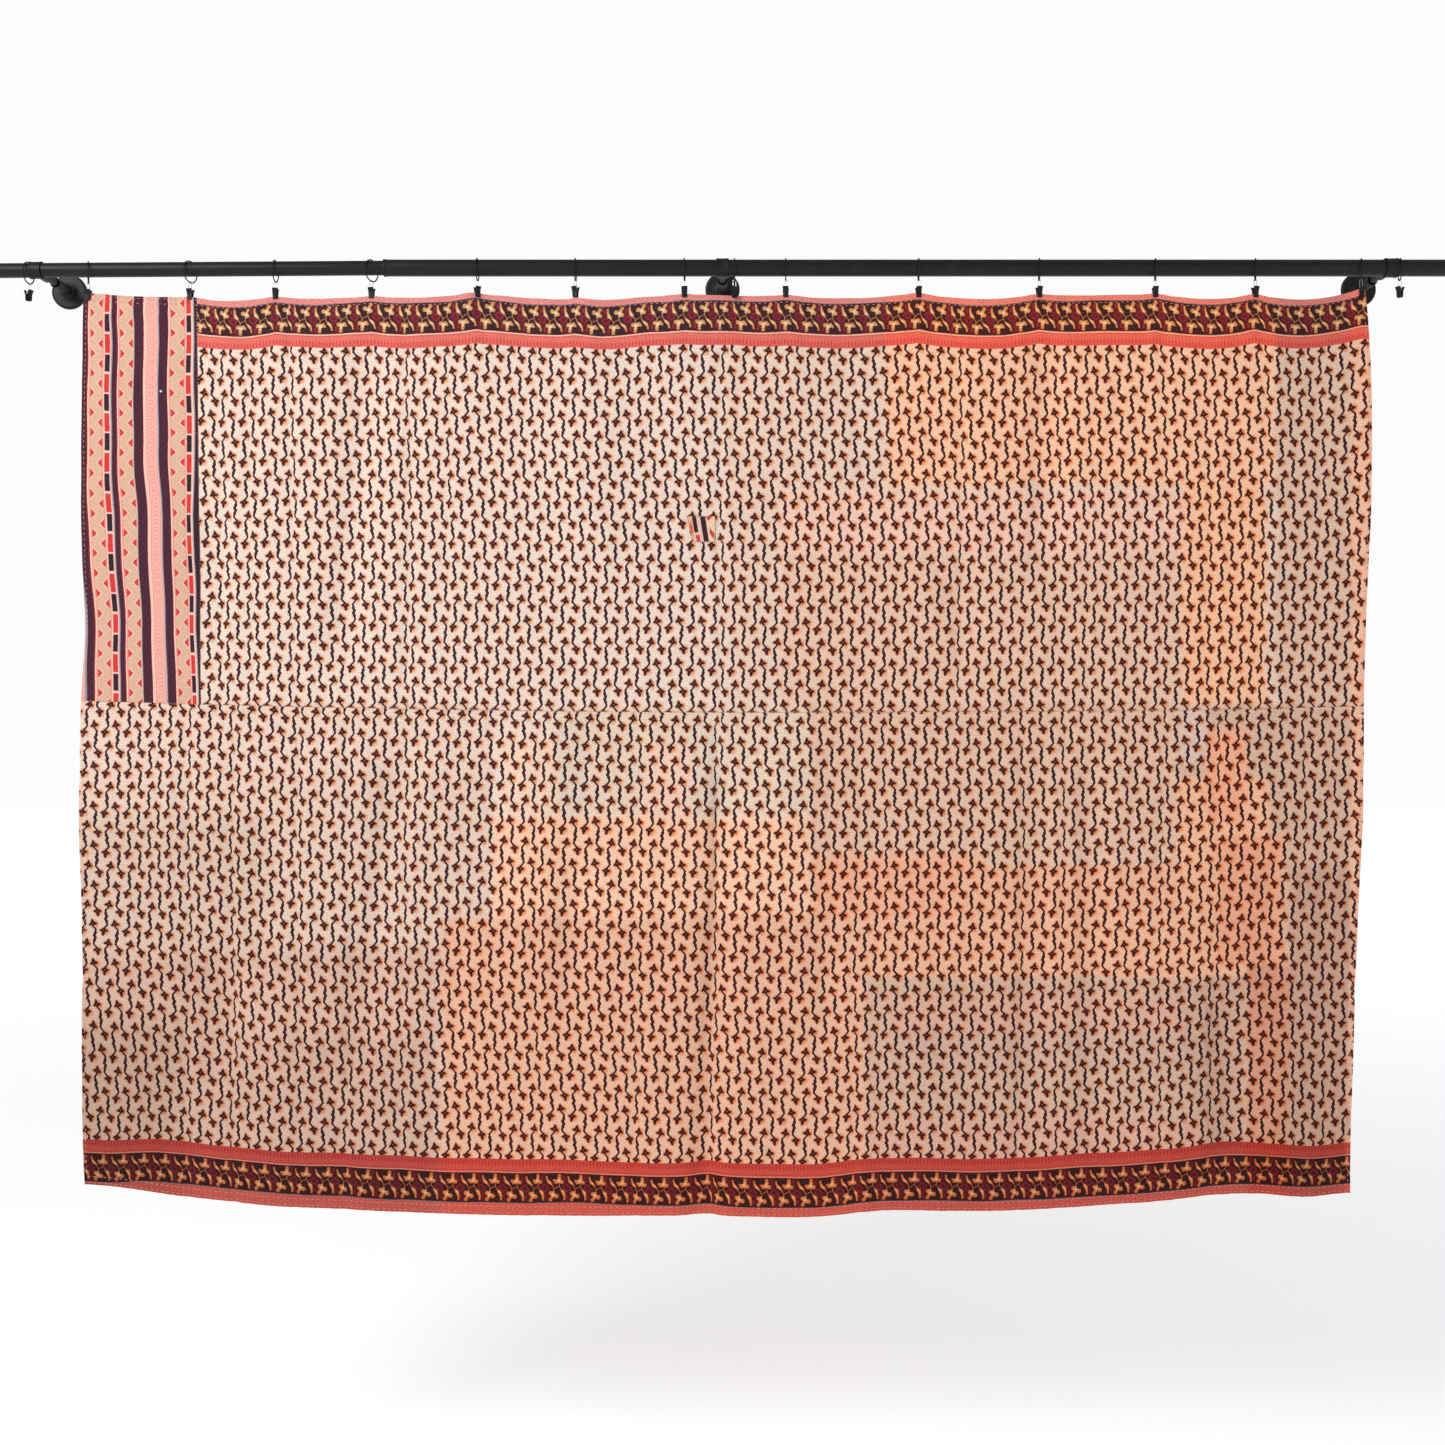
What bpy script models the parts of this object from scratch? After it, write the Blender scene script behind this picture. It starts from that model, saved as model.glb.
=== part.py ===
"""A kantha quilt clipped to the rings of a telescoping wall rod.

Metres, +Z up. The origin is the middle of the middle wall flange's back face, so the wall is the
plane y = 0, the quilt hangs in front of it at negative y, and x runs to the right along the rod.
"""
import math
from collections import namedtuple

import bpy
import bmesh
import numpy as np
from mathutils import Matrix, Vector

GAP = 0.0003                  # what neighbouring pieces leave between them

# The rod: a thin tube that slides into the mouth of a thick one
ROD_Y = -0.124                # the rod's centre line, in front of the wall
ROD_LEFT = -1.170
ROD_RIGHT = 1.170
ROD_STEP = -0.525             # where the thin tube enters the thick one
THIN_RADIUS = 0.0111
THICK_RADIUS = 0.0127
SOCKET_DEPTH = 0.034
ENGAGED = 0.030               # how far the thin tube reaches into the socket
SOCKET_CLEARANCE = 0.0004
THIN_SLOPE = 0.0069           # the thin tube sinks a little towards its free end
ROUND_EDGE = 0.0012
MOUTH_LIP = 0.0003            # the flat rim that is left around the socket
ROD_STEPS = 24

# Brackets: collar on the rod, branch, arm and wall flange
BRACKETS = (("bracket_left", -1.0633), ("bracket_middle", 0.0), ("bracket_right", 1.0354))
COLLAR_LENGTH = 0.019
COLLAR_WALL = 0.0013
BRANCH_RADIUS, BRANCH_END = 0.0084, 0.038
NECK_RADIUS, NECK_END = 0.0055, 0.066
ARM_RADIUS, ARM_END = 0.0082, 0.112
HUB_RADIUS, HUB_END = 0.0125, 0.118
FLANGE_RADIUS = 0.0280
FLANGE_ROUND = 0.0015
ARM_CHAMFER = 0.002
COLLAR_CHAMFER = 0.0006

# Rings, wire bails and spring clips
RING_RADIUS = 0.0165          # to the middle of the wire
RING_WIRE = 0.0010
BAIL_WIRE = 0.0004
BAIL_HALF_WIDTH = 0.0022
BAIL_SHOWS = 0.0086           # from the ring's lowest point to the clip's top
BAIL_FOLLOWS = 0.4            # how much of its clip's turn a bail takes
CLIP_HEIGHT = 0.0177
CLIP_TOP_WIDTH = 0.0090
CLIP_FOOT_WIDTH = 0.0076
CLIP_WALL = 0.0011
CLIP_OPEN = 0.0058            # half of the clip's depth across its open handles
CLIP_SHOULDER = 0.0006        # the hinge block stands this far proud of the jaws
CLIP_ROUND = 0.0005
NOTCH_DEPTH = 0.0065          # between the handles
SLOT_DEPTH = 0.0090           # between the jaws

# The quilt
QUILT_THICK = 0.0022
PATCH_THICK = 0.0008
SEAM_DROP = 0.630             # the seam between the panels, on the straightened cloth
QUILT_DROP = 1.400
SQUARE = 0.032                # the mesh's usual column width
UPPER_ROWS, LOWER_ROWS = 12, 13
CLIP_FLAT = 0.0055            # half of the flat strip that lies in a clip
CLIP_STEP = 0.016             # the mesh's next column beside it
CLIP_CLEAR = 0.028            # no even column comes nearer to a clip
NEAR_EDGE = 0.002
TOP_ROWS_SHARE = 0.3          # how much of the even spacing the rows near the clips keep

# Each ring in turn: where it sits on the rod, its turn and the clip's about the vertical, how far
# the clip overlaps the cloth (0 where it hangs free), and the bay to its right: how low the cloth's
# top edge sags there and how far the bay stands back from the line of the clips
Ring = namedtuple("Ring", "x ring_turn clip_turn grip bay_low bay_back")
RINGS = (
    Ring(-1.0755, 5, 62, 0.0, 0.0, 0.0),
    Ring(-0.983, -20, 6, 0.0068, -0.0473, 0.003),
    Ring(-0.825, 18, -9, 0.0058, -0.0512, -0.003),
    Ring(-0.693, 0, 7, 0.0050, -0.0488, 0.004),
    Ring(-0.544, 24, -6, 0.0050, -0.0473, -0.002),
    Ring(-0.380, 0, 26, 0.0046, -0.0484, 0.004),
    Ring(-0.228, 0, -24, 0.0046, -0.0504, 0.005),
    Ring(-0.059, 2, 5, 0.0060, -0.0457, 0.0068),
    Ring(0.0186, 0, 12, 0.0, 0.0, 0.0),
    Ring(0.098, 2, -6, 0.0052, -0.0488, 0.004),
    Ring(0.304, 3, 4, 0.0073, -0.0488, -0.003),
    Ring(0.491, 7, 8, 0.0068, -0.0457, 0.003),
    Ring(0.671, 11, -5, 0.0073, -0.0473, -0.003),
    Ring(0.826, 15, 7, 0.0068, -0.0527, 0.005),
    Ring(0.990, 18, 4, 0.0076, 0.0, 0.0),
    Ring(1.0500, 14, -58, 0.0, 0.0, 0.0),
)

# The cloth's edges as they hang, each row a place along the edge and the edge's height or side
Point = namedtuple("Point", "along at")
HEM = (
    Point(-0.989, -1.420), Point(-0.945, -1.422), Point(-0.811, -1.443), Point(-0.632, -1.458),
    Point(-0.383, -1.468), Point(-0.096, -1.469), Point(-0.026, -1.466), Point(0.152, -1.470),
    Point(0.250, -1.460), Point(0.437, -1.459), Point(0.615, -1.450), Point(0.758, -1.436),
    Point(0.829, -1.4315), Point(0.915, -1.441), Point(0.973, -1.439),
)
SEAM = (
    Point(-0.995, -0.671), Point(-0.747, -0.678), Point(-0.002, -0.689), Point(0.360, -0.688),
    Point(0.803, -0.684), Point(0.995, -0.679),
)
LEFT_EDGE = (
    Point(0.000, -0.990), Point(0.090, -0.992), Point(0.260, -0.994), Point(0.420, -0.992),
    Point(0.520, -0.988), Point(0.620, -0.9935), Point(0.835, -0.9975), Point(0.960, -0.9935),
    Point(1.230, -0.990), Point(1.350, -0.989), Point(1.400, -0.984),
)
RIGHT_EDGE = (
    Point(0.000, 0.9955), Point(0.040, 1.000), Point(0.110, 1.0044), Point(0.240, 1.0067),
    Point(0.375, 1.003), Point(0.500, 0.9975), Point(0.610, 0.9945), Point(0.800, 0.9930),
    Point(0.905, 0.9875), Point(1.030, 0.981), Point(1.210, 0.9755), Point(1.400, 0.973),
)
JOIN_TOP, JOIN_FOOT = -0.8142, -0.8083      # the seam beside the striped panel

BAY_FADE = 0.16               # how far down the cloth a bay's bow reaches
TWIST_WIDTH = 0.022           # how far a clip's turn twists the cloth, across and down
TWIST_FADE = 0.05
CALM_TOP = 0.08               # the folds come in below the clips over this drop

# Soft upright folds: each runs from its top to its foot, and back is how far it stands away from
# the viewer (negative where it is a ridge)
Fold = namedtuple("Fold", "x_top drop_top x_foot drop_foot half_width back")
FOLDS = (
    Fold(-0.546, 0.08, -0.592, 0.56, 0.032, 0.010),
    Fold(-0.499, 0.70, -0.569, 1.18, 0.032, 0.011),
    Fold(-0.228, 0.85, -0.240, 1.12, 0.030, 0.007),
    Fold(0.005, 0.74, -0.030, 1.40, 0.024, 0.011),
    Fold(0.167, 0.93, 0.160, 1.12, 0.030, 0.006),
    Fold(0.505, 0.07, 0.500, 0.42, 0.028, 0.008),
    Fold(0.369, 0.40, 0.372, 0.56, 0.030, 0.006),
    Fold(0.493, 0.70, 0.480, 1.31, 0.028, 0.008),
    Fold(0.570, 0.70, 0.575, 1.31, 0.028, 0.008),
    Fold(0.865, 0.86, 0.850, 1.04, 0.035, 0.008),
    Fold(0.780, 1.10, 0.790, 1.32, 0.032, 0.014),
    Fold(-0.786, 0.32, -0.790, 0.48, 0.032, 0.006),
    Fold(-0.786, 1.00, -0.780, 1.22, 0.032, 0.008),
    Fold(-0.282, 0.66, -0.290, 1.02, 0.055, -0.008),
    Fold(0.105, 0.68, 0.100, 0.88, 0.045, -0.007),
    Fold(-0.205, 0.15, -0.200, 0.42, 0.055, -0.006),
    Fold(0.700, 0.90, 0.690, 1.40, 0.060, -0.009),
    Fold(-0.680, 0.95, -0.690, 1.40, 0.060, -0.007),
    Fold(0.300, 1.00, 0.310, 1.40, 0.070, -0.006),
)
FOLD_FADE = 0.10              # a fold comes and goes over this length

# Storage creases that run across the whole cloth
Crease = namedtuple("Crease", "drop half_height back")
CREASES = (Crease(0.745, 0.030, 0.003), Crease(1.068, 0.030, 0.003), Crease(0.345, 0.040, -0.002))

# The two lower corners curl back towards the wall
Corner = namedtuple("Corner", "x reach_x reach_drop back")
CORNERS = (Corner(-0.995, 0.11, 0.20, 0.016), Corner(0.980, 0.10, 0.22, 0.018))

# The mending patch, on the hung cloth
PATCH_CENTRE = (-0.0310, -0.4050)
PATCH_WIDTH, PATCH_HEIGHT = 0.040, 0.039
PATCH_SLANT = 0.006
PATCH_SQUARES = 4

COLOURS = {
    "print_cloth": ((0.62, 0.47, 0.36), 0.9, 0.0),
    "stripe_cloth": ((0.55, 0.22, 0.19), 0.9, 0.0),
    "patch_cloth": ((0.75, 0.30, 0.22), 0.9, 0.0),
    "black_steel": ((0.012, 0.012, 0.014), 0.42, 0.6),
    "bright_wire": ((0.72, 0.72, 0.73), 0.25, 1.0),
}


# Curves and the shape in which the cloth hangs

def smooth_through(points, where):
    """The value at where on a smooth curve through the points."""
    along = np.array([point.along for point in points])
    at = np.array([point.at for point in points])
    slope = np.gradient(at, along)
    where = np.clip(where, along[0], along[-1])
    i = np.clip(np.searchsorted(along, where) - 1, 0, len(along) - 2)
    span = along[i + 1] - along[i]
    t = (where - along[i]) / span
    start = (1 + 2 * t) * (1 - t) ** 2 * at[i] + t * (1 - t) ** 2 * span * slope[i]
    end = t ** 2 * (3 - 2 * t) * at[i + 1] - t ** 2 * (1 - t) * span * slope[i + 1]
    return start + end


def smooth_step(value):
    value = np.clip(value, 0.0, 1.0)
    return value * value * (3 - 2 * value)


def bump(distance, width):
    return np.exp(-((distance / width) ** 2))


def rod_radius(x):
    return THIN_RADIUS if x < ROD_STEP else THICK_RADIUS


def rod_height(x):
    """The rod's centre line is level but for the thin tube."""
    return min(0.0, (x - ROD_STEP) * THIN_SLOPE)


def ring_centre(ring):
    """The ring hangs with its inner edge on the rod's top."""
    top = rod_height(ring.x) + rod_radius(ring.x) + GAP
    return Vector((ring.x, ROD_Y, top - (RING_RADIUS - RING_WIRE)))


def clip_top(ring):
    return ring_centre(ring).z - RING_RADIUS - RING_WIRE - BAIL_SHOWS


def holding_rings():
    return [ring for ring in RINGS if ring.grip > 0]


def held_height(ring):
    """The cloth's top edge inside a clip."""
    return clip_top(ring) - CLIP_HEIGHT + ring.grip


def top_edge(x):
    """The top edge: a shallow scallop in each bay between two clips."""
    holders = holding_rings()
    low = holders[0]
    for following in holders[1:]:
        if x <= following.x or following is holders[-1]:
            break
        low = following
    start, end = held_height(low), held_height(following)
    t = (x - low.x) / (following.x - low.x)
    sag = (start + end) / 2 - low.bay_low
    inside = min(max(t, 0.0), 1.0)
    return start + (end - start) * inside - sag * 4 * inside * (1 - inside)


def bay_depth(x, drop):
    """The bays stand a little before or behind the clips, and the clips twist the cloth."""
    depth = 0.0
    holders = holding_rings()
    for low, following in zip(holders, holders[1:]):
        t = (x - low.x) / (following.x - low.x)
        if 0 < t < 1:
            depth += low.bay_back * math.sin(math.pi * t) ** 2 * math.exp(-drop / BAY_FADE)
    for ring in holders:
        beside = x - ring.x
        twist = math.tan(math.radians(ring.clip_turn))
        depth += twist * beside * bump(beside, TWIST_WIDTH) * math.exp(-drop / TWIST_FADE)
    return depth


def fold_depth(x, drop):
    """How far the cloth stands behind the line of the clips, from its folds and creases."""
    depth = 0.0
    for fold in FOLDS:
        t = (drop - fold.drop_top) / (fold.drop_foot - fold.drop_top)
        centre = fold.x_top + (fold.x_foot - fold.x_top) * t
        begins = smooth_step((drop - fold.drop_top) / FOLD_FADE + 0.5)
        ends = smooth_step((fold.drop_foot - drop) / FOLD_FADE + 0.5)
        ends = 1.0 if fold.drop_foot >= QUILT_DROP else ends
        depth += fold.back * bump(x - centre, fold.half_width) * begins * ends
    for crease in CREASES:
        depth += crease.back * bump(drop - crease.drop, crease.half_height)
    for corner in CORNERS:
        upward = bump(QUILT_DROP - drop, corner.reach_drop)
        depth += corner.back * bump(x - corner.x, corner.reach_x) * upward
    return depth * float(smooth_step(drop / CALM_TOP))


def hang(x_share, left, right, drop):
    """A point of the cloth's middle surface: a share of the way across at a drop down the cloth."""
    x = left + (right - left) * x_share
    if drop <= SEAM_DROP:
        t = drop / SEAM_DROP
        height = top_edge(x) * (1 - t) + smooth_through(SEAM, x) * t
    else:
        t = (drop - SEAM_DROP) / (QUILT_DROP - SEAM_DROP)
        height = smooth_through(SEAM, x) * (1 - t) + smooth_through(HEM, x) * t
    depth = bay_depth(x, drop) + fold_depth(x, drop)
    return Vector((x, ROD_Y + depth, height))


def join_at(drop):
    return JOIN_TOP + (JOIN_FOOT - JOIN_TOP) * drop / SEAM_DROP


# Helpers that make Blender objects

def material(name):
    colour, roughness, metallic = COLOURS[name]
    made = bpy.data.materials.get(name) or bpy.data.materials.new(name)
    made.use_nodes = True
    shader = made.node_tree.nodes["Principled BSDF"]
    shader.inputs["Base Color"].default_value = (*colour, 1)
    shader.inputs["Roughness"].default_value = roughness
    shader.inputs["Metallic"].default_value = metallic
    return made


def new_object(name, mesh, material_name, collection):
    made = bpy.data.objects.new(name, mesh)
    collection.objects.link(made)
    if not mesh.materials:
        mesh.materials.append(material(material_name))
    return made


def turned(name, profile, steps, material_name, collection):
    """A solid turned about its local Z axis, from a profile of (radius, height) top to bottom."""
    mesh = bpy.data.meshes.new(name)
    points = [(radius, 0, height) for radius, height in profile]
    mesh.from_pydata(points, [(i, i + 1) for i in range(len(points) - 1)], [])
    made = new_object(name, mesh, material_name, collection)
    screw = made.modifiers.new("Turn", "SCREW")
    screw.steps = screw.render_steps = steps
    screw.use_merge_vertices = True
    screw.merge_threshold = 0.00001
    return made


def as_mesh(source, name):
    """The evaluated object as a welded mesh at its own place, without the source object."""
    graph = bpy.context.evaluated_depsgraph_get()
    mesh = bpy.data.meshes.new_from_object(source.evaluated_get(graph))
    mesh.name = name
    work = bmesh.new()
    work.from_mesh(mesh)
    bmesh.ops.remove_doubles(work, verts=work.verts, dist=0.000001)
    work.to_mesh(mesh)
    work.free()
    bpy.data.objects.remove(source)
    return mesh


def smooth_shaded(mesh, degrees=40):
    mesh.shade_smooth()
    mesh.set_sharp_from_angle(angle=math.radians(degrees))


# The cloth

def cloth_solid(name, size, place, thick, material_name, collection):
    """A grid of (rows, columns) laid by place(column, row) and thickened straight back."""
    rows, columns = size
    work = bmesh.new()
    bmesh.ops.create_grid(work, x_segments=columns - 1, y_segments=rows - 1, size=0.5)
    for vertex in work.verts:
        column = round((vertex.co.x + 0.5) * (columns - 1))
        row = round((0.5 - vertex.co.y) * (rows - 1))
        vertex.co = place(column, row) - Vector((0, thick / 2, 0))
    grown = bmesh.ops.extrude_face_region(work, geom=work.faces[:])
    moved = [part for part in grown["geom"] if isinstance(part, bmesh.types.BMVert)]
    bmesh.ops.translate(work, verts=moved, vec=(0, thick, 0))
    bmesh.ops.recalc_face_normals(work, faces=work.faces[:])
    mesh = bpy.data.meshes.new(name)
    work.to_mesh(mesh)
    work.free()
    smooth_shaded(mesh, 60)
    return new_object(name, mesh, material_name, collection)


def columns_between(left, right):
    """Even columns, but for a flat strip under each clip and a step on each side of it."""
    held = [ring.x for ring in holding_rings() if left < ring.x < right]
    count = round((right - left) / SQUARE)
    even = [left + (right - left) * i / count for i in range(count + 1)]
    inner = [x for x in even[1:-1] if all(abs(x - at) > CLIP_CLEAR for at in held)]
    near = [at + side for at in held for side in (-CLIP_STEP, -CLIP_FLAT, CLIP_FLAT, CLIP_STEP)]
    near = [x for x in near if left + NEAR_EDGE < x < right - NEAR_EDGE]
    return sorted([even[0], *inner, *near, even[-1]])


def upper_drops():
    """Rows of the upper panels, closer together near the clips."""
    steps = np.linspace(0, 1, UPPER_ROWS)
    drops = SEAM_DROP * (TOP_ROWS_SHARE * steps + (1 - TOP_ROWS_SHARE) * steps ** 2)
    drops[-1] -= GAP / 2
    return drops


def make_upper_panel(collection):
    left, right = join_at(0) + GAP / 2, RIGHT_EDGE[0].at
    columns = columns_between(left, right)
    shares = [(x - left) / (right - left) for x in columns]
    drops = upper_drops()

    def place(column, row):
        drop = drops[row]
        edge = float(smooth_through(RIGHT_EDGE, drop))
        return hang(shares[column], join_at(drop) + GAP / 2, edge, drop)

    size = (len(drops), len(shares))
    return cloth_solid("panel_upper", size, place, QUILT_THICK, "print_cloth", collection)


def make_striped_panel(collection):
    left, right = LEFT_EDGE[0].at, join_at(0) - GAP / 2
    columns = columns_between(left, right)
    shares = [(x - left) / (right - left) for x in columns]
    drops = upper_drops()

    def place(column, row):
        drop = drops[row]
        edge = float(smooth_through(LEFT_EDGE, drop))
        return hang(shares[column], edge, join_at(drop) - GAP / 2, drop)

    size = (len(drops), len(shares))
    return cloth_solid("panel_striped", size, place, QUILT_THICK, "stripe_cloth", collection)


def make_lower_panel(collection):
    columns = round((RIGHT_EDGE[-1].at - LEFT_EDGE[-1].at) / SQUARE) + 1
    drops = np.linspace(SEAM_DROP + GAP / 2, QUILT_DROP, LOWER_ROWS)

    def place(column, row):
        drop = drops[row]
        left = float(smooth_through(LEFT_EDGE, drop))
        right = float(smooth_through(RIGHT_EDGE, drop))
        return hang(column / (columns - 1), left, right, drop)

    size = (len(drops), columns)
    return cloth_solid("panel_lower", size, place, QUILT_THICK, "print_cloth", collection)


def make_patch(collection):
    """The patch lies on the front of the upper panel, its sides slanting down to the right."""
    centre_x, centre_z = PATCH_CENTRE
    clear = (QUILT_THICK + PATCH_THICK) / 2 + 2 * GAP

    def place(column, row):
        across = column / (PATCH_SQUARES - 1) - 0.5
        up = 0.5 - row / (PATCH_SQUARES - 1)
        x = centre_x + across * PATCH_WIDTH - up * PATCH_SLANT
        z = centre_z + up * PATCH_HEIGHT
        seam = float(smooth_through(SEAM, x))
        top = top_edge(x)
        drop = SEAM_DROP * (top - z) / (top - seam)
        depth = bay_depth(x, drop) + fold_depth(x, drop)
        return Vector((x, ROD_Y + depth - clear, z))

    size = (PATCH_SQUARES, PATCH_SQUARES)
    return cloth_solid("mending_patch", size, place, PATCH_THICK, "patch_cloth", collection)


# The rod and its brackets

def make_rods(collection):
    """Two turned tubes that lie along x. Their free ends are closed."""
    thick_length = ROD_RIGHT - ROD_STEP
    bore = THIN_RADIUS + SOCKET_CLEARANCE
    lip = THICK_RADIUS - ROUND_EDGE
    mouth = bore + MOUTH_LIP
    thick = turned("rod_thick", [
        (0, thick_length), (lip, thick_length), (THICK_RADIUS, thick_length - ROUND_EDGE),
        (THICK_RADIUS, ROUND_EDGE), (mouth, 0), (bore, 0), (bore, SOCKET_DEPTH), (0, SOCKET_DEPTH),
    ], ROD_STEPS, "black_steel", collection)
    thick.location = (ROD_STEP, ROD_Y, 0)
    thick.rotation_euler = (0, math.radians(90), 0)
    thin_length = ROD_STEP - ROD_LEFT + ENGAGED
    lip = THIN_RADIUS - ROUND_EDGE
    thin = turned("rod_thin", [
        (0, thin_length), (THIN_RADIUS, thin_length), (THIN_RADIUS, ROUND_EDGE), (lip, 0), (0, 0),
    ], ROD_STEPS, "black_steel", collection)
    slope = math.atan(THIN_SLOPE)
    foot = Vector((ROD_LEFT, ROD_Y, rod_height(ROD_LEFT)))
    thin.location = foot
    thin.rotation_euler = (0, math.radians(90) - slope, 0)
    for rod in (thick, thin):
        smooth_shaded(rod.data)


def make_bracket(name, x, collection, cutters):
    """Flange, hub, arm, neck and branch turned in one piece, joined to a collar around the rod."""
    radius = rod_radius(x)
    reach = -ROD_Y
    stem = turned(name + "_stem", [
        (0, reach), (FLANGE_RADIUS, reach), (FLANGE_RADIUS, HUB_END + FLANGE_ROUND),
        (FLANGE_RADIUS - FLANGE_ROUND, HUB_END), (HUB_RADIUS, HUB_END), (HUB_RADIUS, ARM_END),
        (ARM_RADIUS, ARM_END - ARM_CHAMFER), (ARM_RADIUS, NECK_END), (NECK_RADIUS, NECK_END),
        (NECK_RADIUS, BRANCH_END), (BRANCH_RADIUS, BRANCH_END), (BRANCH_RADIUS, 0), (0, 0),
    ], ROD_STEPS, "black_steel", collection)
    made = new_object(name, as_mesh(stem, name), "black_steel", collection)
    made.location = (x, ROD_Y, rod_height(x))
    made.rotation_euler = (math.radians(-90), 0, 0)
    outer = radius + SOCKET_CLEARANCE + COLLAR_WALL
    half = COLLAR_LENGTH / 2
    shoulder = half - COLLAR_CHAMFER
    collar = turned(name + "_collar", [
        (0, half), (outer - COLLAR_CHAMFER, half), (outer, shoulder),
        (outer, -shoulder), (outer - COLLAR_CHAMFER, -half), (0, -half),
    ], ROD_STEPS, "black_steel", cutters)
    bore = turned(name + "_bore", [
        (0, COLLAR_LENGTH), (radius + SOCKET_CLEARANCE, COLLAR_LENGTH),
        (radius + SOCKET_CLEARANCE, -COLLAR_LENGTH), (0, -COLLAR_LENGTH),
    ], ROD_STEPS, "black_steel", cutters)
    slope = math.atan(THIN_SLOPE) if x < ROD_STEP else 0.0
    for helper, operation in ((collar, "UNION"), (bore, "DIFFERENCE")):
        helper_mesh = as_mesh(helper, name + operation.lower())
        helper = new_object(helper_mesh.name, helper_mesh, "black_steel", cutters)
        helper.location = (x, ROD_Y, rod_height(x))
        helper.rotation_euler = (0, math.radians(90) - slope, 0)
        helper.hide_render = True
        helper.display_type = "WIRE"
        joined = made.modifiers.new(operation.title(), "BOOLEAN")
        joined.operation = operation
        joined.object = helper
    smooth_shaded(made.data, 35)


# Rings, bails and clips

def ring_mesh():
    bpy.ops.mesh.primitive_torus_add(
        major_radius=RING_RADIUS, minor_radius=RING_WIRE, major_segments=18, minor_segments=6)
    torus = bpy.context.object
    mesh = torus.data.copy()
    mesh.name = "ring"
    bpy.data.objects.remove(torus)
    mesh.transform(Matrix.Rotation(math.radians(90), 4, "Y"))
    mesh.shade_smooth()
    return mesh


def bail_mesh():
    """A narrow upside-down U of thin wire, its top at the ring and its feet in the clip's notch."""
    ring_wire_top = RING_WIRE * 2
    arch_top = ring_wire_top + GAP + BAIL_WIRE
    foot = -BAIL_SHOWS - NOTCH_DEPTH + 2 * GAP
    arch = [math.radians(angle) for angle in range(0, 181, 36)]
    route = [(BAIL_HALF_WIDTH, foot)]
    route += [
        (BAIL_HALF_WIDTH * math.cos(a), arch_top - BAIL_HALF_WIDTH * (1 - math.sin(a))) for a in arch]
    route += [(-BAIL_HALF_WIDTH, foot)]
    curve = bpy.data.curves.new("bail", "CURVE")
    curve.dimensions = "3D"
    spline = curve.splines.new("POLY")
    spline.points.add(len(route) - 1)
    for point, (x, z) in zip(spline.points, route):
        point.co = (x, 0, z, 1)
    curve.bevel_depth = BAIL_WIRE
    curve.bevel_resolution = 1
    curve.use_fill_caps = True
    guide = bpy.data.objects.new("bail", curve)
    bpy.context.scene.collection.objects.link(guide)
    bpy.context.view_layer.update()
    mesh = as_mesh(guide, "bail")
    mesh.shade_smooth()
    return mesh


def clip_mesh():
    """A spring clip seen from its side: two handles in a V, a hinge block and two jaws."""
    jaw = QUILT_THICK / 2 + GAP * 1.5
    hinge = jaw + CLIP_WALL + CLIP_SHOULDER
    block_top, block_foot = -NOTCH_DEPTH, -CLIP_HEIGHT + SLOT_DEPTH
    right = [
        (CLIP_OPEN - CLIP_WALL, 0), (CLIP_OPEN, -CLIP_ROUND), (hinge, block_top),
        (hinge, block_foot), (jaw + CLIP_WALL, -CLIP_HEIGHT + CLIP_ROUND), (jaw, -CLIP_HEIGHT),
        (jaw, block_foot), (0, block_foot),
    ]
    notch = hinge - CLIP_WALL
    outline = [(0, block_top), (notch, block_top), *right]
    outline += [(-y, z) for y, z in reversed(right[:-1])]
    outline += [(-notch, block_top)]
    curve = bpy.data.curves.new("clip", "CURVE")
    curve.dimensions = "2D"
    curve.fill_mode = "BOTH"
    curve.extrude = 0.5
    spline = curve.splines.new("POLY")
    spline.points.add(len(outline) - 1)
    spline.use_cyclic_u = True
    for point, (y, z) in zip(spline.points, outline):
        point.co = (y, z, 0, 1)
    guide = bpy.data.objects.new("clip", curve)
    bpy.context.scene.collection.objects.link(guide)
    bpy.context.view_layer.update()
    mesh = as_mesh(guide, "clip")
    for vertex in mesh.vertices:
        y, z, side = vertex.co
        share = -z / CLIP_HEIGHT
        width = CLIP_TOP_WIDTH + (CLIP_FOOT_WIDTH - CLIP_TOP_WIDTH) * share
        vertex.co = (side * width, y, z)
    work = bmesh.new()
    work.from_mesh(mesh)
    bmesh.ops.recalc_face_normals(work, faces=work.faces[:])
    work.to_mesh(mesh)
    work.free()
    return mesh


def make_hangers(collection):
    meshes = {"ring": ring_mesh(), "bail": bail_mesh(), "clip": clip_mesh()}
    finishes = {"ring": "black_steel", "bail": "bright_wire", "clip": "black_steel"}
    for number, ring in enumerate(RINGS, 1):
        centre = ring_centre(ring)
        lowest = centre - Vector((0, 0, RING_RADIUS + RING_WIRE))
        places = {
            "ring": (centre, ring.ring_turn),
            "bail": (lowest, ring.clip_turn * BAIL_FOLLOWS),
            "clip": (Vector((ring.x, ROD_Y, clip_top(ring))), ring.clip_turn),
        }
        for kind, (place, turn) in places.items():
            made = new_object(f"{kind}_{number:02d}", meshes[kind], finishes[kind], collection)
            made.location = place
            sign = -1 if kind == "ring" else 1
            made.rotation_euler = (0, 0, sign * math.radians(turn))


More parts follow.
